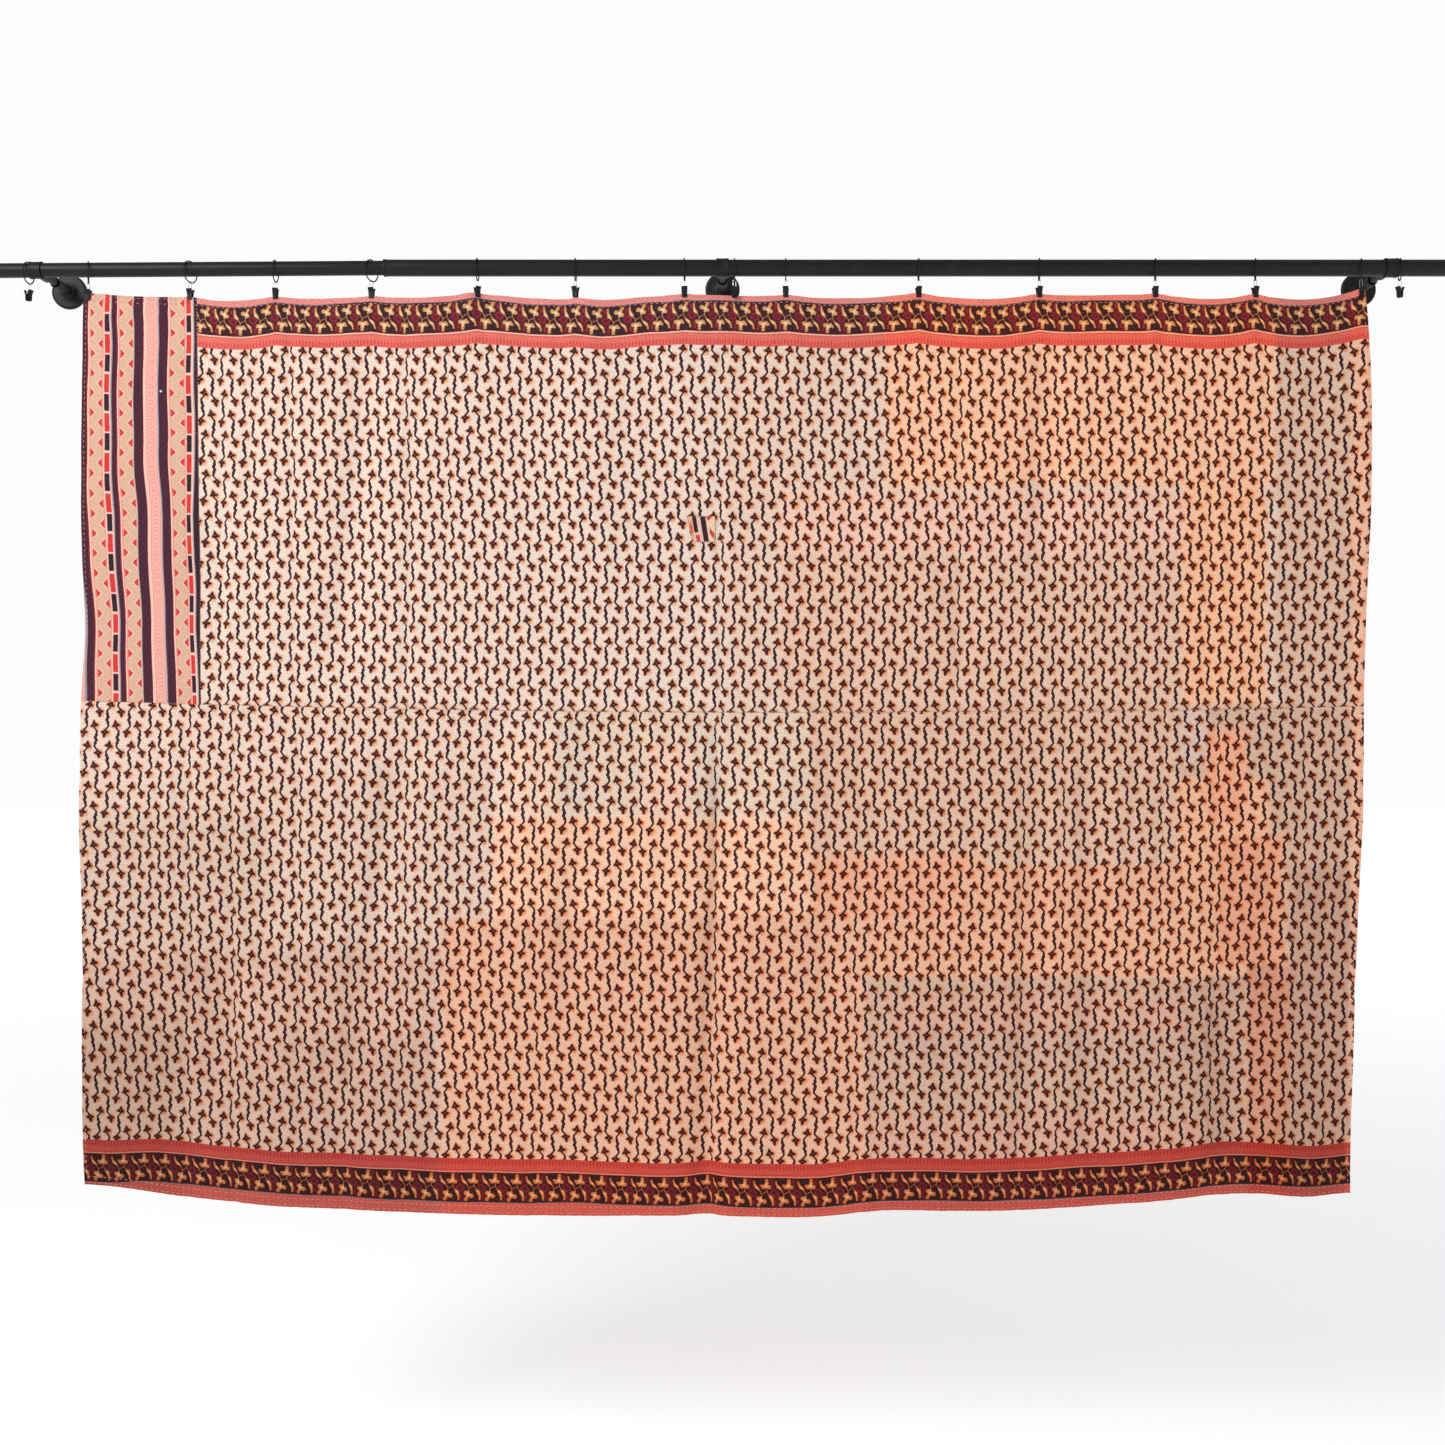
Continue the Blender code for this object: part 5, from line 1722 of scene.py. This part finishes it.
DIAMOND_Y, DIAMOND_ACROSS, DIAMOND_DOWN, DIAMOND_REACH, DIAMOND_LINE = 11.0, 0.74, 0.84, 4.8, 0.8
Dyes = namedtuple("Dyes", "band maroon gold edge pale ring stroke heart coral red light hem line")
UPPER_DYES = Dyes(
    ink(56, 18, 36), ink(96, 16, 32), ink(214, 154, 92), ink(134, 78, 44), ink(246, 220, 174),
    ink(150, 38, 72), ink(160, 40, 62), ink(110, 4, 26), ink(232, 108, 94), ink(208, 44, 42),
    ink(252, 176, 160), ink(222, 124, 122), ink(250, 200, 168))
LOWER_DYES = Dyes(
    ink(48, 6, 22), ink(80, 6, 24), ink(212, 126, 70), ink(126, 60, 34), ink(244, 204, 150),
    ink(136, 32, 68), ink(124, 22, 44), ink(84, 2, 18), ink(208, 84, 76), ink(178, 26, 30),
    ink(236, 140, 124), ink(196, 76, 74), ink(236, 166, 142))
BAND_SHADE = ink(26, 8, 18)


def discs(cloth, point, shapes):
    """The distance outside a cluster of round petals."""
    nearest = None
    for disc in shapes:
        away = cloth.vector("DISTANCE", point, (disc.x, disc.y, 0)) - disc.radius
        nearest = away if nearest is None else lesser(nearest, away)
    return nearest


def strokes(cloth, x, y, table, reach=BUD_REACH):
    return meander(cloth, x, y, table, STROKES_LOW, STROKES_HIGH, reach)


def crimson_ground(cloth, x, y, dyes):
    """The dark band with its maroon columns, red strokes and ringed diamonds."""
    half = BAND_PITCH / 2
    beside = wrapped(x - CRIMSON_MIDDLE - (y - DIAMOND_Y) * CRIMSON_LEAN, -half, half)
    straight = wrapped(x - CRIMSON_MIDDLE, -half, half)
    mottled = cloth.noise(cloth.flat, 0.5, 2.0)
    ground = cloth.mix(inside(abs(beside) - CRIMSON_HALF, 2.4), dyes.band, dyes.maroon)
    ground = cloth.mix(mottled * 0.35, ground, BAND_SHADE)
    stroke = strokes(cloth, straight, y, CRIMSON, CRIMSON_REACH)
    drawn = cloth.mix(inside(stroke, 0.9) * 0.85, ground, dyes.stroke)
    corner = abs(beside) * DIAMOND_ACROSS + abs(y - DIAMOND_Y) * DIAMOND_DOWN - DIAMOND_REACH
    drawn = cloth.mix(inside(corner), drawn, dyes.heart)
    return cloth.mix(inside(abs(corner) - DIAMOND_LINE), drawn, dyes.ring)


def border_band(cloth, y, layout, dyes):
    """The dark band's colour. On the lower border the same drawing stands on its head."""
    x = wrapped((cloth.x - layout.phase) * layout.down, BAND_LEFT, BAND_LEFT + BAND_PITCH)
    point = cloth.node("ShaderNodeCombineXYZ", {}, {0: x, 1: y})
    leaf = lesser(discs(cloth, point, HIGH_TREFOIL), discs(cloth, point, LOW_TREFOIL))
    bud = lesser(strokes(cloth, x, y, LEFT_BUD), strokes(cloth, x, y, RIGHT_BUD))
    bud = lesser(bud, line(cloth, point, *LINK, LINK_HALF))
    away = discs(cloth, point, HEARTS)
    tone = cloth.mix(inside(away - PETAL_TONE, 4.6), dyes.gold, dyes.pale)
    tone = cloth.mix(inside(leaf + PETAL_RIM, 0.9), dyes.edge, tone)
    bud_tone = cloth.mix(inside(bud + BUD_RIM), dyes.edge, dyes.gold)
    bud_tone = cloth.mix(inside(bud + BUD_HEART, 1.4), bud_tone, dyes.pale)
    drawn = crimson_ground(cloth, x, y, dyes)
    drawn = cloth.mix(inside(bud), drawn, bud_tone)
    return cloth.mix(inside(leaf), drawn, tone)


print("petals of the two trefoils:", len(HIGH_TREFOIL) + len(LOW_TREFOIL))

# %% [markdown]
# ## The border's strips
#
# From the hem inwards the border is hem, thin line, band, pale line and coral. Three of these are
# patterns, so instead of one ramp each is a colour laid over the field, the widest first.

# %% Lay the border's strips
COMMA_PITCH, COMMA_MIDDLE, COMMA_TAPER, COMMA_HALF = 5.3, 6.5, 0.22, 1.2
CORAL_LINE, CORAL_LINE_HALF = 17.6, 0.5
EDGE_SOFT = 0.6               # how softly one strip of the border ends at the next
HEM_LINE, HEM_LINE_WIDTH = ink(132, 124, 138), 1.2


def coral_stripe(cloth, depth, dyes):
    """The speckled coral stripe, with red commas along its edge towards the field."""
    specks = cloth.noise(cloth.flat, 0.8, 2.0)
    fine = cloth.noise(cloth.drawn, 1.3, 1.0)
    nearness = inside(depth - 6.0, 9.0)
    spotted = cloth.mix(inside(0.5 - specks, 0.1) * (0.35 + nearness * 0.45), dyes.coral, dyes.red)
    spotted = cloth.mix(inside(fine - 0.43, 0.1) * (0.6 - nearness * 0.35), spotted, dyes.light)
    beside = abs(wrapped(cloth.x, -COMMA_PITCH / 2, COMMA_PITCH / 2))
    comma = beside + abs(depth - COMMA_MIDDLE) * COMMA_TAPER - COMMA_HALF
    drawn = cloth.mix(inside(comma, 0.9) * 0.8, spotted, dyes.red)
    return cloth.mix(inside(abs(depth - CORAL_LINE) - CORAL_LINE_HALF) * 0.6, drawn, dyes.red)


def hem_strip(cloth, dyes):
    specks = cloth.noise(cloth.flat, 0.7, 2.0)
    spotted = cloth.mix(inside(0.47 - specks, 0.1) * 0.7, dyes.hem, dyes.light)
    return cloth.mix(inside(specks - 0.42, 0.1) * 0.5, spotted, dyes.red)


def bordered(cloth, field, layout, dyes):
    """The field with its border laid over it. Depths are measured from the hem's edge inwards."""
    inward = (cloth.y - layout.hem) * layout.down
    coral = coral_stripe(cloth, layout.coral_foot - inward, dyes)
    hem = hem_strip(cloth, dyes)
    y = (inward - layout.band_edge) * (BAND_DEPTH / layout.depth) - HEART_DROP
    band = border_band(cloth, y, layout, dyes)
    strips = (
        (layout.coral_foot, coral), (layout.line_foot, dyes.line), (layout.band_foot, band),
        (layout.band_edge, HEM_LINE), (layout.band_edge - HEM_LINE_WIDTH, hem),
    )
    drawn = field
    for foot, strip in strips:
        drawn = cloth.mix(inside(inward - foot, EDGE_SOFT), drawn, strip)
    return drawn


TOTAL = float(flat_length(np.array(QUILT_DROP))) * MILLIMETRES
Layout = namedtuple("Layout", "hem band_edge band_foot line_foot coral_foot down phase depth")
UPPER_LAYOUT = Layout(
    hem=0.0, band_edge=9.8, band_foot=56.6, line_foot=58.6, coral_foot=77.6, down=1, phase=10.0, depth=46.8)
LOWER_LAYOUT = Layout(
    hem=TOTAL, band_edge=15.2, band_foot=60.6, line_foot=62.2, coral_foot=81.8, down=-1, phase=13.0,
    depth=45.6)
print("the lower border starts", round(TOTAL - LOWER_LAYOUT.coral_foot), "mm down the cloth")

# %% [markdown]
# ## Two printed panels
#
# Both are cut from one printed cloth, each at its own place in the repeat, and the lower one's dyes
# are darker. Only the squares that the border reaches carry its many nodes, so the open field
# renders sooner.

# %% Finish the two printed panels
UPPER_START, LOWER_START = (5.9, 147.6), (18.5, 647.3)
SEAM_ABOVE, SEAM_BELOW, SEAM_SHARE = 639.4, 641.6, 0.2
SEAM_THREAD = ink(232, 190, 166)
BACK_PALE, BACK_DARK, BACK_THREAD = ink(238, 214, 196), ink(222, 196, 176), (250, 238, 226)
# The back takes part of the stains and of their painted shade.
BACK_SHOWING, BACK_STAINS_AND_SHADE = 0.6, 0.4


def printed_field(cloth, start):
    """The field with a faint line of thread along the long seam."""
    seam = between(cloth.down, SEAM_ABOVE, SEAM_BELOW, EDGE_SOFT)
    return cloth.mix(seam * SEAM_SHARE, field_print(cloth, start), SEAM_THREAD)


def print_finishes(name, start, layout, dyes):
    open_cloth = Cloth(name + "_field")
    open_field = open_cloth.finish_cloth(printed_field(open_cloth, start))
    edge_cloth = Cloth(name + "_border")
    edge = bordered(edge_cloth, printed_field(edge_cloth, start), layout, dyes)
    return open_field, edge_cloth.finish_cloth(edge)


def back_cloth():
    """The quilt's back doesn't show, so it is plain faded cotton with the same stitching."""
    cloth = Cloth("plain_back_cotton")
    blotch = cloth.noise(cloth.flat, 0.012, 4.0)
    colour = cloth.mix(inside(0.5 - blotch, 0.24), BACK_PALE, BACK_DARK)
    return cloth.finish_cloth(colour, BACK_THREAD, BACK_SHOWING, BACK_STAINS_AND_SHADE)


BACK = back_cloth()
upper_finishes = print_finishes("upper", UPPER_START, UPPER_LAYOUT, UPPER_DYES)
lower_finishes = print_finishes("lower", LOWER_START, LOWER_LAYOUT, LOWER_DYES)
for finish in (*upper_finishes, *lower_finishes):
    print("nodes in", finish.name, len(finish.node_tree.nodes))

# %% [markdown]
# ## The striped panel
#
# The narrow panel at the left is cut from a striped cloth, so its stripes run down: dark bands, pale
# lines, columns of red and dark bars, a column of small rings, and three wavy bands with red half
# moons on alternate sides. One ramp across the cloth holds the plain stripes.

# %% Name the stripes
Column = namedtuple("Column", "start colour")
MAROON, MAROON_EDGE = ink(70, 28, 50), ink(132, 32, 36)
PALE, PINK, BEIGE, BLUE = ink(250, 212, 190), ink(242, 186, 170), ink(226, 198, 166), ink(154, 162, 172)
ROSE, RED, DARK, CORAL = ink(246, 200, 184), ink(214, 62, 58), ink(46, 26, 42), ink(228, 104, 92)
COLUMNS = rows_of(
    Column, (-40.0, PINK), (-2.4, BLUE), (0.0, MAROON), (9.8, MAROON_EDGE), (10.9, PALE), (13.6, PINK),
    (15.8, BEIGE), (33.5, ROSE), (35.0, PALE), (45.6, BLUE), (47.4, MAROON), (54.2, MAROON_EDGE),
    (55.2, PALE), (57.6, PINK), (59.8, BEIGE), (79.7, BLUE), (81.1, MAROON), (94.6, MAROON_EDGE),
    (95.9, PALE), (99.8, ROSE), (118.3, BLUE), (119.7, MAROON), (133.4, MAROON_EDGE), (134.4, PALE),
    (137.2, PINK), (139.3, BEIGE), (161.2, ROSE), (163.4, PALE), (175.0, BLUE), (177.0, DARK),
)
STRIPES_LEFT, STRIPES_SPAN = -40.0, 232.0
STRIPES_EDGE = -990.0
SLANT, SLANT_LENGTH, STRIPES_ASIDE, NARROWED = 9.5, 640.0, 2.4, 1.02
ROWS_LEAN, ROWS_DROP = 0.012, 5.3
HOLE, HOLE_RADIUS = (-870.0, 149.0, 0.0), 1.8          # a worn spot where the filling shows
WAVE_PITCH = 31.45
MOON_REACH, MOON_HALF, MOON_ROUND = 0.4, 0.235, 0.04
Wave = namedtuple("Wave", "left right start")
WAVES = (Wave(15.8, 33.5, 10.0), Wave(59.8, 79.1, 8.1), Wave(139.3, 161.2, 6.3))
WAVE_SHADE, WAVE_SOFT, PALE_EDGE = ink(206, 178, 150), 0.05, 0.13
BAR_PITCH, RED_LOW, RED_HIGH, DARK_LOW, DARK_HIGH = 62.9, 57.3, 86.3, 26.0, 53.2
BAR_CLEAR = 3.0
BARS = ((36.9, 44.3), (164.4, 172.2))
RING_COLUMN, RING_PITCH, RING_HALF = 109.0, 12.5, 7.4
RING_OUTER, RING_LINE, RING_LINE_HALF, RING_DOT, CROSS_HALF = 4.6, 3.2, 0.6, 0.8, 0.9
DOTTED_LINES = (14.4, 34.2, 58.6, 101.4, 116.9, 138.2, 162.0, -7.0)
DOT_PITCH, DOT_HALF, DOT_RED = 1.8, 0.75, ink(186, 84, 76)
FILLING = ink(250, 240, 236)
print("plain stripes:", len(COLUMNS), "dotted lines:", len(DOTTED_LINES))

# %% [markdown]
# ## What stands on the stripes
#
# The half moons are soft triangles from both sides of a wavy band, half a pitch apart. The rings,
# bars and dots repeat too, so each is drawn once and wrapped down the cloth.

# %% Draw the striped cloth


def moon(share, turn):
    """The distance outside a half moon that reaches in from the side where share is 0."""
    beside = wrapped(turn, -0.5, 0.5)
    blunt = beside.math("SQRT", beside * beside + MOON_ROUND ** 2)
    return share - MOON_REACH + blunt * (MOON_REACH / MOON_HALF)


def moons(x, y, wave):
    """The distance to the red half moons of a wavy band, as a share of its width."""
    share = (x - wave.left) / (wave.right - wave.left)
    turn = (y - wave.start) / WAVE_PITCH
    nearest = lesser(moon(share, turn + 0.5), moon(1 - share, turn))
    edge = abs(share - 0.5) - 0.5
    return nearest.math("MAXIMUM", nearest, edge), edge


def ring_column(cloth, x, y, colour):
    """A column of small pale rings over coral flecks and crosses."""
    beside = x - RING_COLUMN
    along = wrapped(y, -RING_PITCH / 2, RING_PITCH / 2)
    away = beside.math("SQRT", beside * beside + along * along)
    crossed = abs(abs(beside) - abs(along)) - CROSS_HALF
    flecks = inside(0.54 - cloth.noise(cloth.flat, 0.8, 1.0), 0.12)
    strip = inside(abs(beside) - RING_HALF)
    colour = cloth.mix(flecks * strip * 0.3, colour, CORAL)
    colour = cloth.mix(inside(crossed, 1.0) * strip * 0.22, colour, CORAL)
    colour = cloth.mix(inside(away - RING_OUTER) * 0.9, colour, PALE)
    colour = cloth.mix(inside(abs(away - RING_LINE) - RING_LINE_HALF) * 0.9, colour, CORAL)
    return cloth.mix(inside(away - RING_DOT) * 0.6, colour, CORAL)


def dotted_line(cloth, x, y, middle, colour):
    dot = abs(x - middle) + abs(wrapped(y, -DOT_PITCH / 2, DOT_PITCH / 2)) - DOT_HALF
    return cloth.mix(inside(dot, 0.6) * 0.7, colour, DOT_RED)


def plain_stripes(cloth, place):
    """One ramp with hard edges holds the stripes that run the whole way down."""
    stops = [((column.start - STRIPES_LEFT) / STRIPES_SPAN, column.colour) for column in COLUMNS]
    settings = {"stops": stops, "interpolation": "CONSTANT"}
    return cloth.node("ShaderNodeValToRGB", settings, {0: (place - STRIPES_LEFT) / STRIPES_SPAN})


def bars(cloth, across, down, colour):
    """Red and dark bars by turns, in two columns."""
    turned_low = RED_LOW - BAR_CLEAR
    red = between(wrapped(down, turned_low, turned_low + BAR_PITCH), RED_LOW, RED_HIGH)
    dark = between(wrapped(down, 0.0, BAR_PITCH), DARK_LOW, DARK_HIGH)
    for low, high in BARS:
        within = between(across, low, high)
        colour = cloth.mix(within * red, colour, RED)
        colour = cloth.mix(within * dark, colour, DARK)
    return colour


def striped_cloth():
    cloth = Cloth("striped_cotton")
    share = cloth.y / SLANT_LENGTH
    slanted = (cloth.x - STRIPES_EDGE) * NARROWED - share * share * share * SLANT + STRIPES_ASIDE
    down = cloth.y + slanted * ROWS_LEAN - ROWS_DROP
    colour = plain_stripes(cloth, slanted)
    mottled = cloth.noise(cloth.flat, 0.8, 1.0)
    for wave in WAVES:
        red, edge = moons(slanted, down, wave)
        within = inside(edge, WAVE_SOFT)
        colour = cloth.mix(within * inside(0.52 - mottled, 0.2) * 0.5, colour, WAVE_SHADE)
        colour = cloth.mix(inside(red - PALE_EDGE, 0.06) * within * 0.85, colour, PALE)
        colour = cloth.mix(inside(red, WAVE_SOFT), colour, RED)
    colour = ring_column(cloth, slanted, down, colour)
    for middle in DOTTED_LINES:
        colour = dotted_line(cloth, slanted, down, middle, colour)
    colour = bars(cloth, slanted, down, colour)
    spot = cloth.node("ShaderNodeCombineXYZ", {}, {0: cloth.across, 1: cloth.down})
    hole = cloth.vector("DISTANCE", spot, HOLE) - HOLE_RADIUS
    return cloth.finish_cloth(cloth.mix(inside(hole, 0.6), colour, FILLING))


stripe_print = striped_cloth()
print("nodes in the striped cloth:", len(stripe_print.node_tree.nodes))

# %% [markdown]
# ## From sheets to panels
#
# The panels are cotton layers stitched through, about 2.2 mm thick. Solidify thickens each sheet
# backwards, so the front stays where it was laid. Then each panel takes the place of its solid, which
# is hidden, and hangs under the root body.

PRINT, STRIPE, PATCH = "print_cloth", "stripe_cloth", "patch_cloth"
PAST_RIGHT, PAST_LEFT = 1.1, -1.0


def declare_cloth(sheet, slot, node, holders):
    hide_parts(node)
    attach(sheet, "root")


def holding_clips(left, right):
    return [f"clip_steel_{number:02d}" for number, ring in enumerate(RINGS, 1)
            if ring.grip > 0 and left < ring.x < right]


thick_sheet(upper_panel, QUILT_THICK, upper_finishes, BACK, (-TOTAL, UPPER_LAYOUT.coral_foot))
lower_border = (TOTAL - LOWER_LAYOUT.coral_foot, 2 * TOTAL)
thick_sheet(lower_panel, QUILT_THICK, lower_finishes, BACK, lower_border)
thick_sheet(striped_panel, QUILT_THICK, (stripe_print,), BACK)
UPPER_FLAT = (UPPER_RIGHT - JOIN_TOP + SIDE_TUCK, SEAM_DROP * UPPER_STRETCH)
LOWER_FLAT = (LOWER_WIDTH, TOTAL / MILLIMETRES - UPPER_FLAT[1] + TUCK_IN)
STRIPED_FLAT = (JOIN_TOP - UPPER_LEFT, SEAM_DROP * UPPER_STRETCH)
declare_cloth(upper_panel, PRINT, "panel_upper", holding_clips(JOIN_TOP, PAST_RIGHT))
declare_cloth(lower_panel, PRINT, "panel_lower", ["upper_panel", "striped_panel"])
declare_cloth(striped_panel, STRIPE, "panel_striped", holding_clips(PAST_LEFT, JOIN_TOP))
for panel in (upper_panel, lower_panel, striped_panel):
    print(panel.name, len(panel.data.polygons), "faces", [round(side, 3) for side in panel.dimensions])

# %% [markdown]
# ## The mending patch
#
# A small patch of the striped cloth covers a worn spot. It is its own thin sheet, laid on the front
# of the upper panel with its raw edges turned under, so it is a little thicker than one layer.

# %% Lay and finish the patch
PATCH_CENTRE = (-0.031, -0.405)
PATCH_WIDTH, PATCH_HEIGHT, PATCH_SLANT, PATCH_THICK = 0.0385, 0.039, 0.009, 0.0008
PATCH_SQUARE = 0.0013
STRIPE_LEAN, PATCH_ASIDE = 0.2, 3.0
PATCH_DARK, PATCH_CORAL = ink(50, 18, 28), ink(226, 96, 76)
PATCH_GROUND = (ink(240, 214, 180), ink(236, 200, 184))
PATCH_ORANGE = (ink(242, 190, 142), ink(214, 104, 56))


def patch_place(share, down):
    across, up = share - 0.5, 0.5 - down
    x = PATCH_CENTRE[0] + across * PATCH_WIDTH - up * PATCH_SLANT * (0.5 - across)
    z = PATCH_CENTRE[1] + up * PATCH_HEIGHT
    top, seam = top_edge(x), smooth_through(SEAM, x)
    drop = SEAM_DROP * (top - z) / (top - seam)
    clear = QUILT_THICK / 2 + PATCH_THICK + 2 * GAP
    points = np.stack([x, ROD_Y + cloth_depth(x, drop) - clear, z], axis=-1)
    return points, np.stack([x - PATCH_CENTRE[0], PATCH_CENTRE[1] - z], axis=-1)


def patch_print():
    """Leaning stripes: orange at the left edge, two dark ones, a red block and a red leaf."""
    cloth = Cloth("patch_cotton")
    x, y = cloth.x + PATCH_ASIDE, cloth.y
    leaning = x - y * STRIPE_LEAN
    colour = cloth.mix(inside(leaning - 7.0, 1.0), *PATCH_GROUND)
    orange = cloth.mix(inside(abs(y + 1.0) - 9.0, 10.0), *PATCH_ORANGE)
    colour = cloth.mix(between(leaning, -17.0, -12.2, 1.0), colour, orange)
    colour = cloth.mix(inside(leaning + 16.6) * 0.7, colour, PATCH_CORAL)
    colour = cloth.mix(between(leaning, -10.8, -4.2) * inside(y - 5.0), colour, PATCH_DARK)
    colour = cloth.mix(between(leaning, -9.4, -3.0) * inside(9.0 - y), colour, RED)
    colour = cloth.mix(between(leaning, 2.0, 10.4), colour, PATCH_DARK)
    leaf = abs(x - 18.2 - (y - 7.0) * 0.45) * 1.6 + abs(y - 7.6) * 0.66 - 6.2
    corner = abs(x - 12.2) * 0.8 + abs(y + 18.0) * 0.7 - 4.2
    tip = abs(x + 12.4) + abs(y - 17.0) - 2.6
    colour = cloth.mix(inside(lesser(lesser(leaf, corner), tip), 1.0), colour, RED)
    return cloth.finish_cloth(colour)


steps = steps_between(0, 1, PATCH_SQUARE / PATCH_WIDTH)
patch = lay_sheet("mending_patch_cloth", steps, steps, patch_place)
stain_and_shade(patch)
PATCH_PRINT = patch_print()
thick_sheet(patch, PATCH_THICK, (PATCH_PRINT,), PATCH_PRINT)
declare_cloth(patch, PATCH, "mending_patch", ["upper_panel"])
print(patch.name, len(patch.data.polygons), "faces")

# %% [markdown]
# ## Hand stitches
#
# Short stitches of cotton thread hold the quilt together: they cross the seams, hold down the patch
# and run along the edges. The hundreds of rows inside the field are too many to model, so they stay
# in the cloth's finish. One stitch is modelled as a small grain with few faces. Its copies are drawn
# out between two points on the cloth and sink halfway into it.

# %% Model and sew one stitch
THREAD_RADIUS, THREAD_RISE, LONGER = 0.00045, 0.00018, 1.15


def model_stitch():
    fresh()
    bpy.ops.mesh.primitive_uv_sphere_add(segments=6, ring_count=4, radius=1, rotation=(0, math.pi / 2, 0))
    return settled(bpy.context.object, "stitch")


def panel_at(x, drop):
    if drop > SEAM_DROP:
        return lower_panel
    return upper_panel if x > join_at(drop) else striped_panel


def on_cloth(x, drop):
    """The point on the front of the cloth at a place across it and a drop down it."""
    y = ROD_Y + float(cloth_depth(x, drop)) - QUILT_THICK / 2
    guess = Vector((float(x), y, float(cloth_height(x, drop))))
    return panel_at(x, drop).closest_point_on_mesh(guess)[1]


def sew(model, start, end):
    stitch = copied(model)
    run = end - start
    size = Vector((run.length / 2 * LONGER, THREAD_RADIUS, THREAD_RADIUS))
    middle = (start + end) / 2 - Vector((0, THREAD_RISE, 0))
    stitch.matrix_world = Matrix.LocRotScale(middle, run.to_track_quat("X", "Z"), size)
    return stitch


stitch_model = model_stitch()
print("faces of one stitch:", len(stitch_model.data.polygons))

# %% [markdown]
# ## Where the stitches go
#
# A seamstress crosses a seam with short slanting stitches and runs longer ones along an edge. Each
# stitch is a pair of places on the cloth, so all of them follow its surface fold by fold.

# %% Find the places of the stitches
SEAM_STEP, SEAM_REACH, SEAM_SLANT = 0.0052, 0.0012, 0.0012
EDGE_STEP, EDGE_STITCH = 0.0084, 0.0042
EDGE_DROPS = (0.0035, 0.0112, QUILT_DROP - 0.004, QUILT_DROP - 0.0135)
ENDS_IN, SIDE_IN, SIDE_ENDS, SEAM_ENDS = 0.008, 0.0045, 0.02, 0.004
JOIN_FROM, JOIN_TO = 0.012, SEAM_DROP - 0.006
PATCH_STITCHES, PATCH_REACH = 9, 0.0013


def seam_places():
    left, right = SEAM_LEFT + SEAM_ENDS, SEAM_LEFT + LOWER_WIDTH - SEAM_ENDS
    for x in steps_between(left, right, SEAM_STEP):
        yield (x - SEAM_SLANT / 2, SEAM_DROP - SEAM_REACH), (x + SEAM_SLANT / 2, SEAM_DROP + SEAM_REACH)
    for drop in steps_between(JOIN_FROM, JOIN_TO, SEAM_STEP):
        join = join_at(drop)
        yield (join - SEAM_REACH, drop - SEAM_SLANT / 2), (join + SEAM_REACH, drop + SEAM_SLANT / 2)


def edge_places():
    half = EDGE_STITCH / 2
    for drop in EDGE_DROPS:
        left, right = sides(drop)
        for x in steps_between(float(left) + ENDS_IN, float(right) - ENDS_IN, EDGE_STEP):
            yield (x - half, drop), (x + half, drop)
    for drop in steps_between(SIDE_ENDS, QUILT_DROP - SIDE_ENDS, EDGE_STEP):
        left, right = sides(drop)
        for x in (float(left) + SIDE_IN, float(right) - SIDE_IN):
            yield (x, drop - half), (x, drop + half)


def on_sheet(sheet, *shares):
    """The point of a sheet that is nearest to a place on the patch, or just beside it."""
    points = patch_place(*[np.array([share]) for share in shares])[0]
    return sheet.closest_point_on_mesh(Vector(points[0]))[1]


def patch_ends():
    """Small stitches over the patch's edge, from the patch onto the quilt."""
    reach = PATCH_REACH / PATCH_WIDTH
    for share in (np.arange(PATCH_STITCHES) + 0.5) / PATCH_STITCHES:
        for on_patch, beside in ((reach, -reach), (1 - reach, 1 + reach)):
            yield on_sheet(patch, share, on_patch), on_sheet(upper_panel, share, beside)
        for on_patch, beside in ((reach, -reach), (1 - reach, 1 + reach)):
            yield on_sheet(patch, on_patch, share), on_sheet(upper_panel, beside, share)


ends = [(on_cloth(*start), on_cloth(*end)) for start, end in (*seam_places(), *edge_places())]
print("stitches at seams and edges:", len(ends))

# %% [markdown]
# ## The thread
#
# The thread is undyed cotton that took on the colour of the stains, so it is a dull pink brown. All
# the stitches are joined into one mesh, because thousands of small pieces would be slow to handle.

# %% Sew, join and finish the stitches


def cotton_thread():
    thread = Finish("cotton_thread", Roughness=0.85, Specular_IOR_Level=0.1)
    spot = thread.place()
    soiled = thread.noise(spot, 400.0)
    thread.feed("Base Color", thread.mix(soiled, ink(226, 172, 148), ink(196, 136, 114)))
    thread.bump(thread.noise(spot, 3000.0) * 0.0001)
    return thread.material


sewn = [sew(stitch_model, start, end) for start, end in (*ends, *patch_ends())]
bpy.data.objects.remove(stitch_model)
stitches = joined(sewn, "hand_stitches")
bpy.ops.object.transform_apply(location=True, rotation=True, scale=True)
settled(stitches, "hand_stitches")
stitches.data.materials.clear()
stitches.data.materials.append(cotton_thread())
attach(stitches, "root")
print("stitches:", len(sewn), "with", len(stitches.data.polygons), "faces")

# %% [markdown]
# ## The size at the end
#
# The looks must not change the part's size, so the visual box is gathered beside the imported one and
# printed.

# %% Gather the two boxes, print the visual one and close the scene
fresh()
size_rows = {"cad": cad_box, "visual": [list(corner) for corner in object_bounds()]}
print("visual box:", size_rows["visual"])
